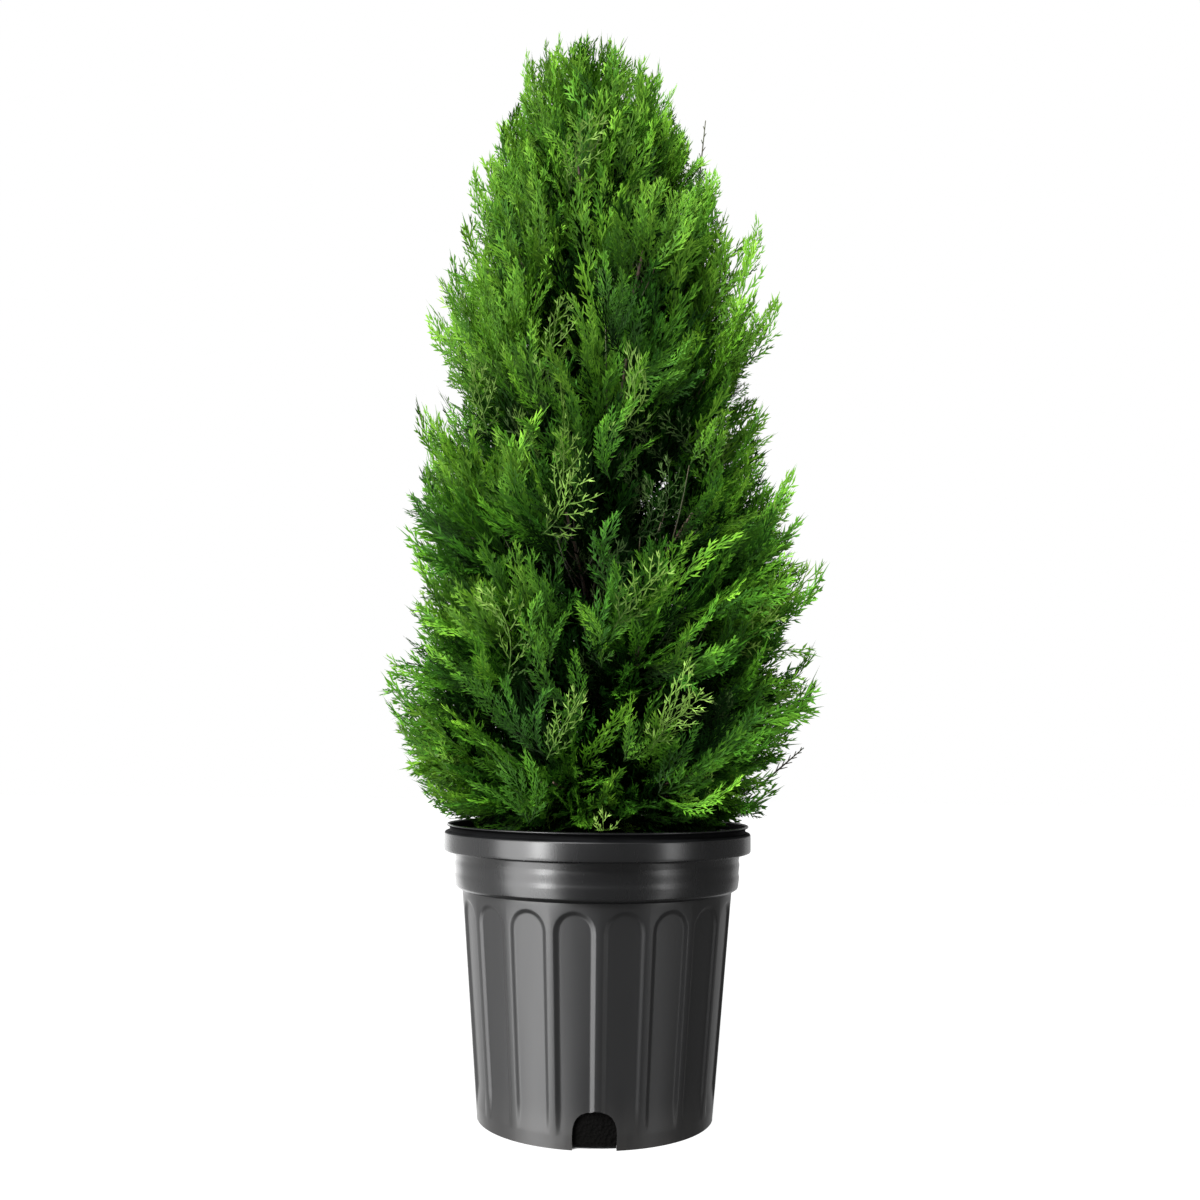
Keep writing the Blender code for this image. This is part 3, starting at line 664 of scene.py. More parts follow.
trunk_line = []
for i in range(TRUNK_KNOTS):
    z = TRUNK_FOOT + (TRUNK_TIP - TRUNK_FOOT) * (i / (TRUNK_KNOTS - 1)) ** 1.15
    trunk_line.append((trunk_centre(z), trunk_radius(z)))
trunk = limb_tubes("trunk_bark", [trunk_line], 6, bark)
for corner in trunk.data.vertices:
    out = corner.co - trunk_centre(corner.co.z)
    out.z = 0.0
    if out.length > 0.001:
        angle = math.atan2(out.y, out.x)
        furrow = noise.noise(Vector((3.2 * math.cos(angle), 3.2 * math.sin(angle), corner.co.z * 26)))
        furrow += 0.5 * noise.noise(Vector((8 * math.cos(angle), 8 * math.sin(angle), corner.co.z * 60)))
        corner.co += out.normalized() * (furrow * 0.10 - 0.05) * out.length
smooth(trunk, 50)
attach(trunk, "root")
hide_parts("trunk")

limbs = [Limb(ring, number) for ring, row in enumerate(RINGS) for number in range(row[2])]
bough_lines = []
for limb in limbs:
    if limb.is_top:
        continue
    line = []
    for i in range(STEM_KNOTS):
        share = STEM_SHARE * i / (STEM_KNOTS - 1)
        radius = BOUGH_RADIUS * (1 - 0.35 * share / BOUGH_SHARE) if share < BOUGH_SHARE else 0.0
        radius = max(radius, 0.0018 * (1 - share) ** 0.8 + 0.0005)
        radius *= 1.0 if limb.has_bough else 0.8
        wobble = Vector((math.sin(9 * share + limb.azimuth), math.cos(7 * share), 0.0)) * 0.0012 * share
        line.append((limb.along(share) + wobble, radius))
    bough_lines.append(line)
boughs = limb_tubes("boughs_bark", bough_lines, 2, bark)
for corner in boughs.data.vertices:
    corner.co += Vector((0.0003, 0.0003, 0.0003)) * noise.noise(corner.co * 160)
smooth(boughs, 60)
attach(boughs, "root")
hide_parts(*(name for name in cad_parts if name.startswith("bough_")))


# ---- The twigs ----
# Each stem forks into slender twigs that reach for the crown's outline and carry the flat sprays. Real twigs
# are reddish brown near the stem and green in this year's wood; here the two are mixed by a noise.

SPRAY_LENGTH = 0.104
GOLDEN_SHARE = 0.618034
SECOND_SHARE = 0.7548777  # steps that don't fall in line with the golden ones
MOUTH_RADIUS = 0.125  # inside it, growth may hang down to the mix
OVER_RIM = 0.281  # height that growth keeps above, outside the pot's mouth
OVER_MIX = MIX_TOP + 0.008
TOP_SLOPE = 0.62  # how fast the crown's top falls away from the axis
TWIG_RADIUS = 0.0011
SHORTEST_SPRAY = 0.035
DENSE_LEFT = (  # height and reach of the close growth, inside the longest shoots
    (0.286, 0.140),
    (0.298, 0.174),
    (0.346, 0.200),
    (0.400, 0.214),
    (0.430, 0.226),
    (0.456, 0.198),
    (0.530, 0.190),
    (0.580, 0.218),
    (0.640, 0.183),
    (0.680, 0.182),
    (0.715, 0.182),
    (0.735, 0.158),
    (0.760, 0.143),
    (0.813, 0.190),
    (0.845, 0.171),
    (0.890, 0.121),
    (0.933, 0.120),
    (0.970, 0.126),
    (1.020, 0.105),
    (1.099, 0.084),
    (1.113, 0.064),
    (CROWN_TOP, 0.025),
)
DENSE_RIGHT = (
    (0.286, 0.144),
    (0.310, 0.170),
    (0.345, 0.192),
    (0.370, 0.194),
    (0.410, 0.219),
    (0.443, 0.198),
    (0.480, 0.186),
    (0.523, 0.216),
    (0.560, 0.206),
    (0.590, 0.196),
    (0.625, 0.182),
    (0.648, 0.165),
    (0.675, 0.178),
    (0.708, 0.170),
    (0.750, 0.139),
    (0.780, 0.158),
    (0.818, 0.180),
    (0.839, 0.125),
    (0.913, 0.143),
    (0.933, 0.114),
    (0.974, 0.116),
    (1.000, 0.094),
    (1.085, 0.059),
    (1.113, 0.014),
    (CROWN_TOP, 0.002),
)
SIDE_SPRAYS = (  # how far behind the last spray's foot, lean in degrees, size
    (0.000, 28, 0.84),
    (0.012, 34, 0.94),
    (0.028, 32, 1.00),
    (0.046, 38, 0.96),
    (0.068, 36, 0.92),
    (0.092, 42, 0.84),
    (0.118, 40, 0.78),
)
BACK_FULLNESS = 0.07


def dense_radius(z, azimuth):
    """Reach of the close growth at a height, blended as the crown's is and a little fuller behind."""
    right = (1 + math.cos(azimuth)) / 2
    fuller = 1 + BACK_FULLNESS * max(0.0, math.sin(azimuth)) ** 2
    return (between(DENSE_LEFT, z) * (1 - right) + between(DENSE_RIGHT, z) * right) * fuller


def plan_twigs(limb):
    """Each twig of a limb as its root on the stem, the tip it reaches for and how fresh its growth is."""
    shift = limb.dice.random()
    plan = []
    for i in range(limb.twig_count):
        step = (i + 0.5) / limb.twig_count
        aside = 2 * ((i * GOLDEN_SHARE + shift) % 1.0) - 1
        reach = 1.00 - 0.22 * limb.dice.random() ** 1.3
        if limb.is_top:
            root = limb.along(0.02 + 0.68 * step)
            azimuth = (i * GOLDEN_SHARE + shift) * math.tau
            z = min(CROWN_TOP - 0.008, root.z + 0.085 + 0.02 * aside)
            radius = dense_radius(z, azimuth) * (reach - 0.04)
            z = min(z, CROWN_TOP - 0.004 - TOP_SLOPE * radius)
            tip = around(azimuth, radius, z)
        else:
            root = limb.along(0.12 + 0.48 * step)
            azimuth = limb.azimuth + aside * limb.half_angle * 0.95
            share = 0.04 + 0.92 * ((i * SECOND_SHARE + shift * 3) % 1.0)
            tip = on_outline(limb.ring, share, azimuth, reach, dense_radius)
        plan.append((root, tip, limb.dice.random()))
    return plan


def holds(point):
    """Whether a point is within the crown's reach and above the pot."""
    radius = math.hypot(point.x, point.y)
    if point.z > CROWN_TOP - TOP_SLOPE * max(radius - 0.02, -point.y):
        return False
    if radius > dense_radius(point.z, math.atan2(point.y, point.x)) * 1.01:
        return False
    return point.z > (OVER_RIM if radius > MOUTH_RADIUS else OVER_MIX)


class Spray:
    """One flat spray: where it leaves its twig, the way it points, the way its flat side lies and its length.

    Its depth, how far into the shade it stands from 0 outside to 1.8 at the trunk, darkens its green: painted
    shade.
    """

    def __init__(
        self, root, way, across, length, depth, freshness, dice, is_open=False, is_placed=False, slim=1.0
    ):
        self.root, self.way, self.length = root, way.normalized(), length
        self.across = (across - self.way * across.dot(self.way)).normalized()
        self.depth, self.freshness, self.is_open, self.is_placed = depth, freshness, is_open, is_placed
        self.slim = slim * dice.uniform(0.85, 1.15)
        self.lift = dice.uniform(-0.06, 0.32)
        self.sweep = max(-0.30, min(0.30, dice.gauss(0, 0.24)))
        self.twist = dice.gauss(0, 0.6)


sprays = []
twig_lines = []
UP = Vector((0, 0, 1))


def leaf_out(root, tip, freshness, dice, size=1.0, depth=0.0, slim=1.0, sides=None, upright=0.0):
    """A twig from a root to a tip, with a spray at its end and others from both sides of it."""
    span = (tip - root).length
    way = (tip - root).normalized()
    azimuth = math.atan2(tip.y, tip.x)
    tangent = Vector((-math.sin(azimuth), math.cos(azimuth), 0.0))
    level = tangent * (1 - upright) + UP * upright
    across = Matrix.Rotation(dice.gauss(0, 0.7 - 0.3 * upright), 3, way) @ level
    across = (across - way * across.dot(way)).normalized()
    length = min(SPRAY_LENGTH * size * dice.uniform(0.70, 1.25), span * 0.9)
    foot = tip - way * length
    bow = UP * -0.10 * (span - length)
    line = []
    for i in range(5):
        share = i / 4
        point = root.lerp(foot, share) + bow * 4 * (share - share * share)
        line.append((point, TWIG_RADIUS * (1 - 0.62 * share)))
    twig_lines.append(line)
    sprays.append(Spray(foot - way * 0.004, way, across, length, depth, freshness, dice, slim=slim))
    side = dice.choice((-1, 1))
    for back, lean, share in SIDE_SPRAYS[:sides]:
        side = -side
        if back > span - length + 0.01:
            break
        at = foot - way * back
        hinge = Matrix.Rotation(dice.gauss(0, 0.9), 3, way) @ way.cross(across)
        aslant = Matrix.Rotation(math.radians(side * lean * dice.uniform(0.70, 1.20)), 3, hinge) @ way
        aslant = (aslant + UP * dice.uniform(-0.02, 0.30)).normalized()
        reach = length * share * dice.uniform(0.80, 1.15)
        while reach > SHORTEST_SPRAY and not holds(at + aslant * reach):
            reach *= 0.9
        turned = Matrix.Rotation(dice.gauss(0, 0.9), 3, aslant) @ across
        sprays.append(Spray(at, aslant, turned, reach, depth + min(1.0, back / 0.11), freshness, dice))


for limb in limbs:
    for root, tip, freshness in plan_twigs(limb):
        leaf_out(root, tip, freshness, limb.dice, upright=0.8 if limb.is_top else 0.0)

# Side shoots close the crown up to its dense outline, and the longest shoots stand out of it.
SHOOT_RISE = ((0.28, 0), (0.34, 6), (0.40, 14), (0.60, 42), (0.85, 60), (CROWN_TOP, 84))  # degrees, by height
SIDE_SHOOTS = 54
OUTER_TIPS = (  # across and up
    (-0.209, 0.370),
    (-0.219, 0.398),
    (-0.225, 0.410),
    (-0.221, 0.443),
    (-0.218, 0.430),
    (-0.201, 0.464),
    (-0.199, 0.495),
    (-0.186, 0.318),
    (-0.197, 0.342),
    (-0.208, 0.576),
    (-0.203, 0.616),
    (-0.185, 0.650),
    (-0.197, 0.715),
    (-0.190, 0.710),
    (-0.187, 0.824),
    (-0.176, 0.847),
    (-0.165, 0.878),
    (-0.151, 0.914),
    (-0.142, 0.973),
    (-0.125, 0.988),
    (-0.112, 1.028),
    (-0.087, 1.112),
    (-0.081, 1.104),
    (-0.066, 1.096),
    (-0.062, 1.108),
    (-0.052, 1.128),
    (-0.034, 1.124),
    (-0.021, 1.132),
    (0.004, 1.126),
    (0.038, 1.105),
    (0.020, 1.112),
    (0.203, 0.360),
    (0.184, 0.325),
    (0.223, 0.406),
    (0.225, 0.418),
    (0.224, 0.430),
    (0.221, 0.458),
    (0.232, 0.544),
    (0.212, 0.549),
    (0.208, 0.538),
    (0.222, 0.520),
    (0.210, 0.595),
    (0.202, 0.646),
    (0.195, 0.630),
    (0.190, 0.615),
    (0.183, 0.684),
    (0.174, 0.710),
    (0.186, 0.830),
    (0.174, 0.812),
    (0.165, 0.926),
    (0.156, 0.895),
    (0.121, 0.976),
    (0.076, 1.072),
    (0.059, 1.100),
)


def shoot_from(tip, length):
    """The root of a shoot that rises to its tip at the angle of the growth round it."""
    out = Vector((tip.x, tip.y, 0.0))
    climb = math.radians(between(SHOOT_RISE, tip.z))
    reach = min(length, out.length * 0.8 / math.cos(climb))
    return tip - (out.normalized() * math.cos(climb) + UP * math.sin(climb)) * reach


dice = random.Random(9)
for facing in (0.0, math.pi):
    for i in range(SIDE_SHOOTS):
        z = 0.290 + 0.80 * (i + dice.random()) / SIDE_SHOOTS
        azimuth = facing + dice.uniform(-0.45, 0.45)
        radius = dense_radius(z, azimuth) * dice.uniform(0.93, 1.0)
        tip = around(azimuth, radius, z)
        leaf_out(shoot_from(tip, 0.15), tip, dice.random(), dice, 0.9, 0.1, sides=5, upright=0.85)
for x, z in OUTER_TIPS:
    for swing, below, slim in ((0.0, 0.0, 0.70), (dice.choice((-0.20, 0.20)), 0.010, 0.95)):
        tip = Matrix.Rotation(swing, 3, "Z") @ Vector((x, 0.0, z - below))
        leaf_out(shoot_from(tip, 0.17), tip, dice.uniform(0.3, 0.9), dice, 1.1, 0.0, slim, 5, 0.85)

# A few pale shoots, thin and wide open, stand out of the front.
PALE_TIPS = (  # place of the tip, the lean of the shoot to the side and its length
    (-0.038, -0.165, 0.640, 10, 0.085),
    (-0.015, -0.160, 0.605, 38, 0.075),
    (0.023, -0.150, 0.725, 8, 0.090),
    (0.078, -0.195, 0.430, 24, 0.085),
    (0.095, -0.190, 0.400, 40, 0.075),
    (-0.108, -0.165, 0.495, -14, 0.085),
    (0.004, -0.165, 0.300, 6, 0.050),
    (-0.005, -0.110, 0.975, 20, 0.080),
    (0.060, -0.185, 0.515, 46, 0.080),
    (-0.015, -0.190, 0.400, 26, 0.070),
    (-0.125, -0.120, 0.715, -10, 0.070),
    (-0.040, -0.150, 0.770, 16, 0.075),
)


def forward(lean):
    """The way of a shoot that rises and leans forward, and to the side by an angle."""
    return Vector((math.sin(lean), -0.35, math.cos(lean)))


for x, y, z, aside, length in PALE_TIPS:
    lean = math.radians(aside + dice.uniform(-6, 6))
    way = forward(lean).normalized()
    across = Vector((math.cos(lean), dice.uniform(-0.3, 0.3), 0.0))
    sprays.append(Spray(Vector((x, y, z)) - way * length, way, across, length, 0.0, 1.0, dice, True))

# Fuller shoots stand forward of the hollows between the boughs.
FRONT_TIPS = (  # place of the tip, the lean of the shoot to the side, its length and how fresh it is
    (0.021, -0.150, 0.567, 2, 0.080, 0.4),
    (0.016, -0.170, 0.503, 10, 0.085, 1.0),
    (0.131, -0.150, 0.546, 46, 0.105, 1.0),
    (-0.050, -0.180, 0.489, -6, 0.070, 0.5),
    (-0.060, -0.150, 0.662, 4, 0.110, 1.0),
    (0.036, -0.080, 0.958, 8, 0.085, 1.0),
    (0.128, -0.170, 0.370, 52, 0.100, 1.0),
    (-0.052, -0.190, 0.445, -30, 0.080, 0.8),
    (-0.078, -0.190, 0.415, -24, 0.080, 0.8),
    (0.035, -0.150, 0.672, 20, 0.080, 0.3),
    (-0.120, -0.100, 0.786, -20, 0.090, 0.8),
    (-0.070, -0.120, 0.759, -10, 0.090, 0.6),
    (0.084, -0.110, 0.754, 30, 0.090, 0.4),
    (-0.118, -0.140, 0.449, -20, 0.090, 0.7),
    (-0.104, -0.170, 0.359, -30, 0.090, 0.6),
    (0.060, -0.180, 0.406, 30, 0.080, 0.9),
)
SHOOT_FORKS = ((0, 1.0, 0.0), (26, 0.78, 0.2), (-26, 0.78, 0.2))  # lean off the shoot, size and depth
for x, y, z, aside, length, freshness in FRONT_TIPS:
    root = Vector((x, y, z)) - forward(math.radians(aside)).normalized() * length
    for aslant, size, depth in SHOOT_FORKS:
        lean = math.radians(aside + aslant + dice.uniform(-5, 5))
        across = Vector((math.cos(lean), dice.uniform(-0.4, 0.4), 0.0))
        way = forward(lean).normalized()
        sprays.append(Spray(root, way, across, length * size, depth, freshness, dice, is_placed=True))

# Two shoots that have lost their leaves stand out of the right side.
BARE_SHOOTS = (  # foot and tip, across and up
    ((0.096, 0.900), (0.109, 1.030)),
    ((0.160, 0.315), (0.208, 0.356)),
)
for (foot_x, foot_z), (tip_x, tip_z) in BARE_SHOOTS:
    foot, tip = Vector((foot_x, 0.0, foot_z)), Vector((tip_x, 0.0, tip_z))
    way = (tip - foot).normalized()
    twig_lines.append([(foot.lerp(tip, share), 0.0012 - 0.0007 * share) for share in (0.0, 0.4, 0.8, 1.0)])
    for k in range(9):
        share = 0.40 + 0.065 * k
        at = foot.lerp(tip, share)
        aside = Matrix.Rotation(math.radians(26 if k % 2 else -26), 3, "Y") @ way
        twig_lines.append([(at, 0.0006), (at + aside * 0.011 * (1.3 - share), 0.0004)])

# Low shoots droop over the mix and brush the rim all the way round.
LOW_SHOOTS = 84
for i in range(LOW_SHOOTS):
    azimuth = i * GOLDEN_SHARE * math.tau
    inner, outer = dice.uniform(0.03, 0.08), dice.uniform(0.105, 0.185)
    root = around(azimuth, 1.0, 0.0) * inner + UP * dice.uniform(0.285, 0.330)
    azimuth += dice.uniform(-0.5, 0.5)
    drop = 0.262 if outer < MOUTH_RADIUS else 0.288
    tip = around(azimuth, 1.0, 0.0) * outer + UP * dice.uniform(drop, drop + 0.035)
    leaf_out(root, tip, dice.uniform(0.0, 0.7), dice, 0.8)

# Short shaded shoots leave the trunk and the boughs all the way up, and close the inside of the crown.
TRUNK_SHOOTS = 165
SHOOTS_FOOT = 0.275
SHOOTS_SPAN = 0.66
for i in range(TRUNK_SHOOTS):
    z = SHOOTS_FOOT + SHOOTS_SPAN * ((i * SECOND_SHARE) % 1.0) ** 1.30
    azimuth = i * GOLDEN_SHARE * math.tau
    radius = dense_radius(z + 0.05, azimuth) * dice.uniform(0.38, 0.84)
    root = trunk_centre(z)
    climb = math.radians(dice.uniform(8, 40) + 34 * (z - SHOOTS_FOOT) / SHOOTS_SPAN)
    tip = root + around(azimuth, 1.0, math.tan(climb)) * radius
    if holds(tip):
        leaf_out(root, tip, 0.2, dice, 1.1, 1.2)
TRUNK_SPRAYS = 80
for i in range(TRUNK_SPRAYS):
    z = 0.300 + 0.700 * i / TRUNK_SPRAYS
    azimuth = i * GOLDEN_SHARE * math.tau
    lean = math.radians(dice.uniform(10, 40))
    way = Vector((math.cos(azimuth) * math.sin(lean), math.sin(azimuth) * math.sin(lean), math.cos(lean)))
    across = Vector((dice.gauss(0, 1), dice.gauss(0, 1), dice.gauss(0, 0.5)))
    sprays.append(Spray(trunk_centre(z), way, across, 0.110, 1.8, 0.2, dice))
LIMB_SPRAYS = 13
LEADER_SPRAYS = 48
for limb in limbs:
    dice = limb.dice
    for i in range(LEADER_SPRAYS if limb.is_top else LIMB_SPRAYS):
        root = limb.along(0.04 + 0.62 * dice.random())
        out = limb.end - limb.start
        aim = out.normalized() + Vector((dice.gauss(0, 0.6), dice.gauss(0, 0.6), dice.gauss(0.1, 0.5)))
        aim.normalize()
        size = dice.uniform(0.08, 0.12)
        while size > 0.03 and not holds(root + aim * size):
            size *= 0.85
        turned = aim.cross(Vector((dice.gauss(0, 1), dice.gauss(0, 1), dice.gauss(0, 1))))
        sprays.append(Spray(root, aim, turned, size, 1.8, 0.3, dice))

twig_bark = Finish("young_thuja_twig")
age = twig_bark.grain(twig_bark.place, 24.0, 4.0)
tone = twig_bark.tones(age, (0.38, (0.040, 0.026, 0.010)), (0.62, (0.030, 0.062, 0.010)))
twig_bark.surface({"Base Color": tone, "Roughness": 0.75})
twig_bark.relief(age, 0.4, 0.0004)
twigs = limb_tubes("twigs", twig_lines, 0, twig_bark)
make_active(twigs)
bpy.ops.object.shade_smooth()
bpy.ops.object.select_all(action="DESELECT")
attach(twigs, "root")


# ---- The foliage ----
# Flat ferny sprays of scale leaves pressed close to branchlets two or three times divided. The freshest tips
# are yellow green. The deep green of the growth towards the trunk and in the crown's depth is painted shade.


AXIS_PARTS = 8


def grow_spray(seed, spacing, lean, tip_lean, tip_gap, breadth, loose, stout):
    """One spray of length one along X, flat in XY, as corners, triangles and each corner's growth, 0 to 1.

    Its branchlets leave it to both sides in turn, a spacing apart and at a lean, and reach to its breadth.
    Their tips have a lean and a gap of their own. A loose spray lies less flat, a stout one has wider leaves.
    """
    dice = random.Random(seed)
    corners, faces, growth = [], [], []

    def blade(start, end, half_width, normal, young, old):
        way = end - start
        beside = way.cross(normal).normalized() * half_width
        fold = normal.normalized() * half_width * 0.55
        middle = start + way * 0.40
        first = len(corners)
        corners.extend((start, middle + beside - fold, end, middle - beside - fold))
        growth.extend((young, (young + old) / 2, old, (young + old) / 2))
        faces.extend(((first, first + 1, first + 2), (first, first + 2, first + 3)))

    def strand(start, heading, length, curve, half_width, parts, normal, young, old):
        """A run of overlapping scale leaves along a gentle curve. Returns its points and headings."""
        points, headings = [start], [heading]
        for part in range(parts):
            heading = Matrix.Rotation(curve / parts, 3, normal) @ heading
            points.append(points[-1] + heading * (length / parts))
            headings.append(heading)
        for part in range(parts):
            ahead = points[part + 1] + headings[part + 1] * (length / parts) * 0.45
            low = young + (old - young) * part / parts
            high = young + (old - young) * (part + 1) / parts
            blade(points[part], ahead, half_width * (1 - 0.30 * part / parts), normal, low, high)
        return points, headings

    flat = Vector((0, 0, 1))
    sway = dice.choice((-1, 1)) * dice.uniform(0.15, 0.65)
    ahead = Vector((1, 0, 0))
    axis, headings = strand(Vector((0, 0, 0)), ahead, 0.96, sway, stout, AXIS_PARTS, flat, 0.0, 0.55)
    count = int(0.90 / spacing)
    side = dice.choice((-1, 1))
    for i in range(count):
        side = -side
        along = 0.07 + 0.89 * i / count + dice.uniform(-0.35, 0.35) * spacing
        part = min(AXIS_PARTS - 1, int(along * AXIS_PARTS))
        root = axis[part].lerp(axis[part + 1], along * AXIS_PARTS - part)
        reach = breadth * (math.sin(math.pi * min(1.0, along + 0.08) ** 0.72) ** 0.8 * 0.84 + 0.18)
        reach *= dice.uniform(0.65, 1.15)
        angle = math.radians(lean * (1.08 - 0.30 * along) * dice.uniform(0.75, 1.20)) * side
        up = Matrix.Rotation(dice.gauss(0, loose), 3, headings[part]) @ flat
        heading = Matrix.Rotation(angle, 3, up) @ headings[part]
        bend = -angle * dice.uniform(-0.10, 1.10)
        parts = 3 if reach > 0.16 else 2
        tone = dice.uniform(-0.20, 0.20)
        low, high = 0.06 + 0.44 * along + tone, 0.40 + 0.45 * along + tone
        points, ways = strand(root, heading, reach, bend, stout * 0.88, parts, up, low, high)
        tips = max(1, round(reach / tip_gap))
        flip = dice.choice((-1, 1))
        for k in range(tips):
            flip = -flip
            place = (0.16 + 0.76 * (k + 0.5) / tips) * parts
            here = min(parts - 1, int(place))
            foot = points[here].lerp(points[here + 1], place - here)
            size = (0.055 + 0.065 * (1 - place / parts)) * dice.uniform(0.70, 1.30)
            spread = math.radians(tip_lean * dice.uniform(0.65, 1.35)) * flip
            rise = Matrix.Rotation(dice.gauss(0, loose), 3, ways[here + 1]) @ up
            out = Matrix.Rotation(spread, 3, rise) @ ways[here + 1]
            end = foot + out * size
            young, old = 0.22 + 0.45 * along + tone, 0.58 + 0.42 * along + tone
            blade(foot, end, stout * 0.95, rise, young, old)
            if dice.random() < 0.30:
                fork = Matrix.Rotation(math.radians(-38) * flip, 3, rise) @ out
                half = foot + out * size * 0.45
                young = 0.35 + 0.45 * along + tone
                blade(half, half + fork * size * 0.6, stout * 0.8, rise, young, high + 0.15)
    tip = axis[-1]  # turned and scaled to lie at one along X
    level = Matrix.Rotation(-math.atan2(tip.y, tip.x), 3, flat) @ Matrix.Scale(1 / tip.length, 3)
    return np.array([tuple(level @ c) for c in corners]), np.array(faces), np.array(growth)


FORMS = {  # first seed, count, spacing, lean, tips' lean and gap, breadth, looseness, stoutness
    "full": (11, 8, 0.056, 31, 28, 0.052, 0.31, 0.30, 0.0100),
    "open": (31, 4, 0.088, 44, 38, 0.080, 0.42, 0.24, 0.0092),
    "shaded": (51, 4, 0.090, 40, 36, 0.080, 0.40, 0.40, 0.0170),
}
grown = {}
for name, (seed, count, *habit) in FORMS.items():
    grown[name] = [grow_spray(seed + i, *habit) for i in range(count)]

# Painted light and shade: dark, deep, green, fresh and bright are shaded and lit copies of one green, dealt
# by a score that is partly freshness and partly painted light; pale and sage are the real colours of pale and
# old shoots.
TINTS = {  # name: colour at the foot of a spray, in its middle and at its tips
    "dark": ((0.0010, 0.0042, 0.0005), (0.0026, 0.0130, 0.0014), (0.0070, 0.0330, 0.0032)),
    "deep": ((0.0014, 0.006, 0.001), (0.006, 0.028, 0.002), (0.017, 0.073, 0.005)),
    "green": ((0.004, 0.014, 0.001), (0.016, 0.070, 0.004), (0.046, 0.165, 0.009)),
    "fresh": ((0.007, 0.027, 0.002), (0.036, 0.132, 0.006), (0.098, 0.270, 0.016)),
    "bright": ((0.014, 0.042, 0.003), (0.066, 0.196, 0.009), (0.175, 0.380, 0.028)),
    "sage": ((0.010, 0.024, 0.005), (0.034, 0.070, 0.016), (0.080, 0.145, 0.038)),
    "pale": ((0.036, 0.078, 0.010), (0.105, 0.205, 0.028), (0.230, 0.380, 0.075)),
}
LEAST_SCORES = (("bright", 0.62), ("fresh", 0.44), ("green", 0.22), ("deep", -0.02))  # the rest are dark

HOLLOWS = (  # across, how far forward it stays open, up and radius of each dark gap between the boughs
    (0.028, -0.080, 0.589, 0.036),
    (0.061, -0.080, 0.605, 0.038),
    (0.065, -0.075, 0.648, 0.034),
    (-0.026, -0.085, 0.545, 0.032),
    (-0.046, -0.110, 0.362, 0.016),
    (-0.008, -0.045, 0.935, 0.022),
    (0.045, -0.060, 0.825, 0.024),
    (-0.056, -0.090, 0.706, 0.023),
    (0.105, -0.090, 0.393, 0.020),
)

# Painted light and shade: patches in front of the crown where the growth is painted lighter, or darker where
# the change is below zero.
PAINTED_LIGHT_AND_SHADE_PLACES = (  # across, up and how much lighter, or below zero darker, the growth in front is there
    (-0.068, 0.785, 0.30),
    (-0.008, 0.700, 0.24),
    (0.123, 0.770, 0.30),
    (-0.028, 0.865, 0.20),
    (-0.095, 0.600, 0.28),
    (-0.090, 0.470, 0.36),
    (-0.140, 0.336, 0.28),
    (0.115, 0.625, 0.18),
    (0.010, 0.295, 0.16),
    (-0.062, 0.387, -0.32),
    (0.090, 0.384, -0.38),
    (-0.024, 0.565, -0.24),
    (0.028, 0.785, -0.42),
    (-0.117, 0.525, -0.28),
    (0.028, 0.460, -0.30),
)
PAINTED_PATCH_REACH = 0.050
# Painted shade darkens growth that lies deep in the crown, and painted light keeps tips near the outline at
# least mid green.
PAINTED_SHADE_START = 0.052  # depth in the growth at which it begins to darken
PAINTED_SHADE_FULL_DEPTH = 0.055  # depth at which growth that stands in the shade gets its whole darkness
PAINTED_LIGHT_EDGE_DEPTH = 0.015  # tips nearer the crown's outline than this stand in the light
PAINTED_LIGHT_APEX_DEPTH = 0.040  # and tips nearer it than this at the apex

dice = random.Random(77)
# Thin old shoots cross each gap.
for x, front, z, radius in HOLLOWS:
    for _ in range(2):
        lean = dice.uniform(-1.0, 1.0)
        foot = Vector((x + radius * dice.uniform(-1, 1), front + 0.01, z - radius * dice.uniform(0.3, 1.0)))
        across = Vector((math.cos(lean), dice.uniform(-0.4, 0.4), 0.0))
        length = radius * dice.uniform(1.2, 1.8)
        sprays.append(Spray(foot, forward(lean), across, length, 0.0, 0.2, dice, True))


def depth_in(point):
    """How far a point lies inside the close growth, measured level."""
    return dense_radius(point.z, math.atan2(point.y, point.x)) - math.hypot(point.x, point.y)


def in_hollow(point):
    return any(
        point.y < front and math.hypot(point.x - x, (point.z - z) * 0.8) < radius
        for x, front, z, radius in HOLLOWS
    )


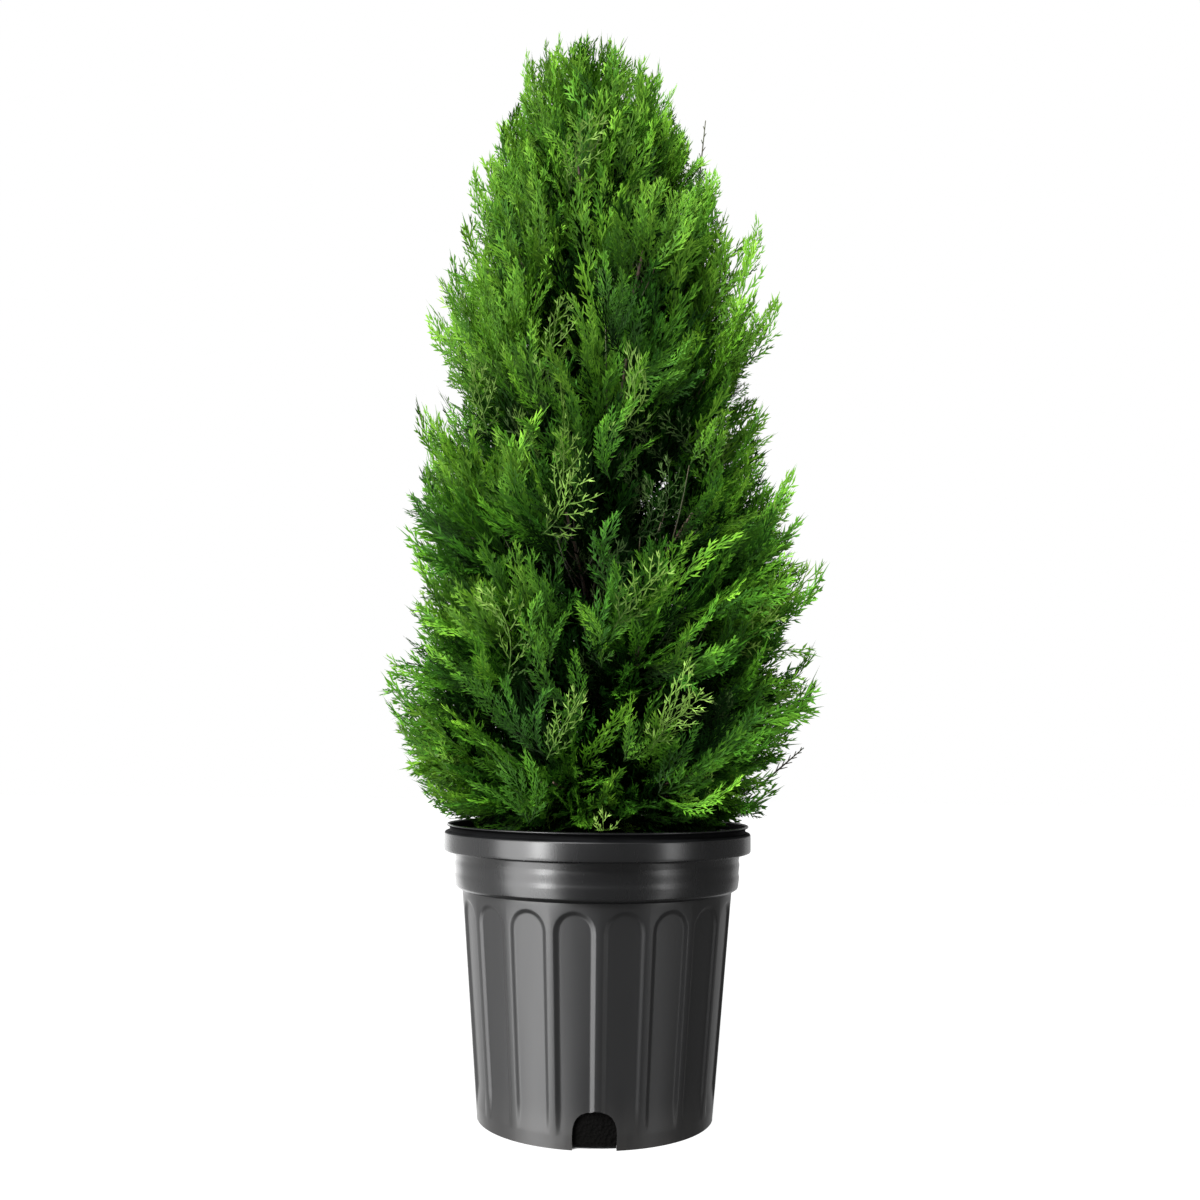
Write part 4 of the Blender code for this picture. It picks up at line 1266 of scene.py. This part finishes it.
# Each spray is scored by how fresh it is and by painted light and shade: lighter high up, to the left, at the
# outline and at listed patches, darker deep in the crown. The score settles its green: about one at the
# lightest, below zero in the dark.
dealt = {tint: [] for tint in TINTS}
for spray in sprays:
    tip = spray.root + spray.way * spray.length
    middle = spray.root + spray.way * spray.length * 0.6
    if not spray.is_open and not spray.is_placed and in_hollow(middle):
        continue
    buried = depth_in(middle)
    covered = min(buried, depth_in(tip), CROWN_TOP - tip.z)
    if spray.depth > 1.1 and covered < 0.020:
        continue
    up = (tip.z - 0.30) / 0.80
    # Painted shade: growth deep inside the crown and below the apex is darkened.
    painted_shade = 9.0 * max(0.0, min(buried, CROWN_TOP - middle.z) - PAINTED_SHADE_START)
    painted_shade_share = min(1.0, max(0.0, min(buried, 0.7 * (CROWN_TOP - middle.z)) / PAINTED_SHADE_FULL_DEPTH))
    # Painted light: the green is lighter higher up and, high up, further to the left, the side the overhead
    # bank lights.
    painted_sunlight = 0.48 + 0.29 * up - 0.07 * up * tip.x / 0.20
    lit_and_fresh_score = painted_sunlight + 0.42 * (spray.freshness - 0.5) + dice.uniform(-0.10, 0.10) - painted_shade
    # Painted shade: shoots from the trunk and boughs and the rear sprays of each twig are darkened by their
    # depth.
    lit_and_fresh_score -= 0.14 * min(1.0, spray.depth) + 0.24 * spray.depth * painted_shade_share
    # Painted light and shade at the listed patches in front.
    if middle.y < 0:
        for x, z, lift in PAINTED_LIGHT_AND_SHADE_PLACES:
            away = math.hypot(middle.x - x, middle.z - z) / PAINTED_PATCH_REACH
            lit_and_fresh_score += lift * max(0.0, 1 - away * away)
    # Painted light: tips at the outline, and more so at the apex, get at least a mid green.
    if covered < (PAINTED_LIGHT_EDGE_DEPTH if up < 0.9 else PAINTED_LIGHT_APEX_DEPTH):
        lit_and_fresh_score = max(lit_and_fresh_score, 0.25 + 0.55 * max(0.0, up - 0.6))
    form = dice.choice(grown["shaded" if spray.depth > 1.1 and covered > 0.045 else "full"])
    if spray.is_open or spray.depth < 0.35 and not spray.is_placed and dice.random() < 0.015:
        tint, form = "pale" if spray.freshness > 0.3 else "sage", dice.choice(grown["open"])
    elif lit_and_fresh_score < 0.22 and buried < 0.10 and dice.random() < 0.05:
        tint, form = "sage", dice.choice(grown["open"])
    else:
        tint = next((name for name, least in LEAST_SCORES if lit_and_fresh_score > least), "dark")
    dealt[tint].append((spray, form, dice.random()))


def laid_out(spray, form):
    """A form's corners laid along a spray, twisted, bent upwards and kept in the crown and off the pot."""
    x, y, z = (form[0] * spray.length).T
    along = x / spray.length
    turn = spray.twist * (along - 0.3)
    y, z = y * np.cos(turn) - z * np.sin(turn), y * np.sin(turn) + z * np.cos(turn)
    y = y * spray.slim + 2.0 * spray.sweep * (along - 1) * x
    normal = spray.way.cross(spray.across)
    place = np.outer(x, spray.way) + np.outer(y, spray.across) + np.outer(z, normal) + np.array(spray.root)
    place[:, 2] += 1.6 * spray.lift * (along - 1) * x
    radius = np.hypot(place[:, 0], place[:, 1])
    low = np.where(radius > MOUTH_RADIUS, OVER_RIM - 0.0005, OVER_MIX - 0.002)
    place[:, 2] = np.clip(place[:, 2], low + 0.008 * np.abs(y) / spray.length, CROWN_TOP + 0.004)
    return place


def scale_leaf_finish(name, colours, wax):
    """Scale leaves: darker at the foot of the spray, lighter at the tips, a little uneven, softly waxy."""
    made = Finish(name)
    along = made.step("SeparateXYZ", "X", {"Vector": made.step("UVMap", "UV", uv_map="growth")})
    patch = made.grain(made.place, 55.0, 3.0)
    uneven = {0: along.node.outputs["Y"], 1: 0.5, 2: patch}
    value = made.ease(made.step("Math", "Value", uneven, operation="MULTIPLY_ADD"), 0.35, 1.15, 0.72, 1.28)
    green = made.tones(along, *zip((0.0, 0.55, 1.0), colours))
    made.surface({
        "Base Color": made.step("HueSaturation", "Color", {"Value": value, "Color": green}),
        "Roughness": 0.60,
        "Specular IOR Level": wax,
    })
    return made


def foliage_piece(name, batch, finish):
    """All the sprays of a batch in one mesh, with each corner's growth and its spray's own number as UV."""
    places, faces, growths, numbers = [], [], [], []
    first = 0
    for spray, form, number in batch:
        places.append(laid_out(spray, form))
        faces.append(form[1] + first)
        growths.append(form[2])
        numbers.append(np.full(len(form[2]), number))
        first += len(form[0])
    places, faces = np.concatenate(places), np.concatenate(faces)
    growths, numbers = np.concatenate(growths), np.concatenate(numbers)
    mesh = bpy.data.meshes.new(name)
    mesh.vertices.add(len(places))
    mesh.vertices.foreach_set("co", places.astype(np.float32).ravel())
    mesh.loops.add(faces.size)
    mesh.loops.foreach_set("vertex_index", faces.astype(np.int32).ravel())
    mesh.polygons.add(len(faces))
    mesh.polygons.foreach_set("loop_start", np.arange(0, faces.size, 3, dtype=np.int32))
    mesh.update()
    layer = mesh.uv_layers.new(name="growth")
    pairs = np.stack((growths[faces.ravel()], numbers[faces.ravel()]), axis=1)
    layer.data.foreach_set("uv", pairs.astype(np.float32).ravel())
    mesh.validate()
    item = bpy.data.objects.new(name, mesh)
    bpy.context.scene.collection.objects.link(item)
    paint(item, finish)
    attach(item, "root")
    return item


PIECE_LIMIT = 186000  # triangles
for tint, entries in dealt.items():
    # The painted-shade copies, dark and deep, also get a weaker sheen.
    wax = 0.02 if tint in ("dark", "deep") else 0.08
    finish = scale_leaf_finish(f"thuja_scale_leaf_{tint}", TINTS[tint], wax)
    batches = []
    count = PIECE_LIMIT
    for entry in entries:
        triangles = len(entry[1][1])
        if count + triangles > PIECE_LIMIT:
            batches.append([])
            count = 0
        batches[-1].append(entry)
        count += triangles
    for number, batch in enumerate(batches, 1):
        foliage_piece(f"sprays_{tint}_{number}", batch, finish)
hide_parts(*(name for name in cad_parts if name.startswith("foliage_")))


# ---- The studio ----
# A white sweep under a broad overhead bank. A wide softbox to the left and a narrow one to the right are
# mirrored in the pot's wall, and the camera stands a little above the pot's rim.

SWEEP_SIZE = 16.0
bpy.ops.mesh.primitive_plane_add(size=SWEEP_SIZE, location=(0, 0, 0))
floor = bpy.context.object
floor.name = "floor"
white = Finish("white_sweep")
white.surface({"Base Color": (0.45, 0.45, 0.45, 1), "Roughness": 0.9})
# To the camera the sweep glows an even white, but for the dark under the pot.
distance = white.step("VectorMath", "Value", {0: white.place}, operation="LENGTH")
clear = white.ease(distance, BODY_FOOT_RADIUS - 0.006, BODY_FOOT_RADIUS - 0.001, 0.0, 0.88)
share = white.times(white.step("LightPath", "Is Camera Ray"), clear)
glow = white.step("Emission", "Emission", {"Strength": 1.14})
mixed = white.step("MixShader", "Shader", {"Fac": share, 1: white.shader.outputs["BSDF"], 2: glow})
white.fill(white.nodes["Material Output"], {"Surface": mixed})
paint(floor, white)
floor.visible_glossy = False
floor.visible_shadow = False

# The surround is white to the camera, and lights the plant softly from all round.
world = bpy.data.worlds.new("studio")
bpy.context.scene.world = world
world.use_nodes = True
nodes, links = world.node_tree.nodes, world.node_tree.links
backdrop = nodes["Background"]
backdrop.inputs["Color"].default_value = (1, 1, 1, 1)
seen = nodes.new("ShaderNodeLightPath")
level = nodes.new("ShaderNodeMapRange")
level.inputs["To Min"].default_value = 0.24
level.inputs["To Max"].default_value = 1.0
links.new(seen.outputs["Is Camera Ray"], level.inputs["Value"])
links.new(level.outputs["Result"], backdrop.inputs["Strength"])


def lamp_at(kind, name, place, aim, strength):
    bpy.ops.object.light_add(type=kind, location=place)
    lamp = bpy.context.object
    lamp.name = name
    lamp.data.energy = strength
    lamp.rotation_euler = (Vector(aim) - Vector(place)).to_track_quat("-Z", "Y").to_euler()
    return lamp


bank = lamp_at("SUN", "overhead_bank", (-1.0, -1.5, 2.5), (0, 0, 0.5), 10.0)
bank.data.angle = math.radians(30)
SOFTBOX_DISTANCE = 1.6
SOFTBOXES = (  # name, degrees from the camera's side of the pot, height of its middle, width, height, power
    ("key_softbox", -53, 0.05, 1.20, 2.2, 72),
    ("key_strip", -40, 0.50, 0.24, 1.1, 18),
    ("side_softbox", -108, 0.05, 1.70, 2.2, 11),
    ("fill_softbox", 55, 0.05, 0.36, 2.2, 6),
    ("fill_strip", 51, 0.50, 0.20, 1.1, 3.5),
    ("back_softbox", -150, 0.10, 0.80, 2.2, 12),
    ("far_softbox", 150, 0.10, 0.80, 2.2, 3),
)
for name, aside, height, width, tall, power in SOFTBOXES:
    place = around(math.radians(aside - 90), SOFTBOX_DISTANCE, height)
    box = lamp_at("AREA", name, place, (0, 0, height), power)
    box.data.shape = "RECTANGLE"
    box.data.size, box.data.size_y = width, tall
    box.visible_diffuse = False
    box.visible_camera = False

bpy.context.scene.view_settings.view_transform = "Standard"

CAMERA_PLACE = (0.0, -1.2326, 0.3462)
CAMERA_TILT = 97.33  # degrees up from straight down
CAMERA_ROLL = 0.6
bpy.ops.object.camera_add()
camera = bpy.context.object
camera.name = "studio_camera"
camera.data.lens = 36.24
camera.data.sensor_width = 36.0
camera.data.clip_start = 0.05
camera.matrix_world = (
    Matrix.Translation(CAMERA_PLACE)
    @ Matrix.Rotation(math.radians(CAMERA_TILT), 4, "X")
    @ Matrix.Rotation(math.radians(CAMERA_ROLL), 4, "Z")
)
bpy.context.scene.camera = camera
bpy.ops.object.select_all(action="DESELECT")
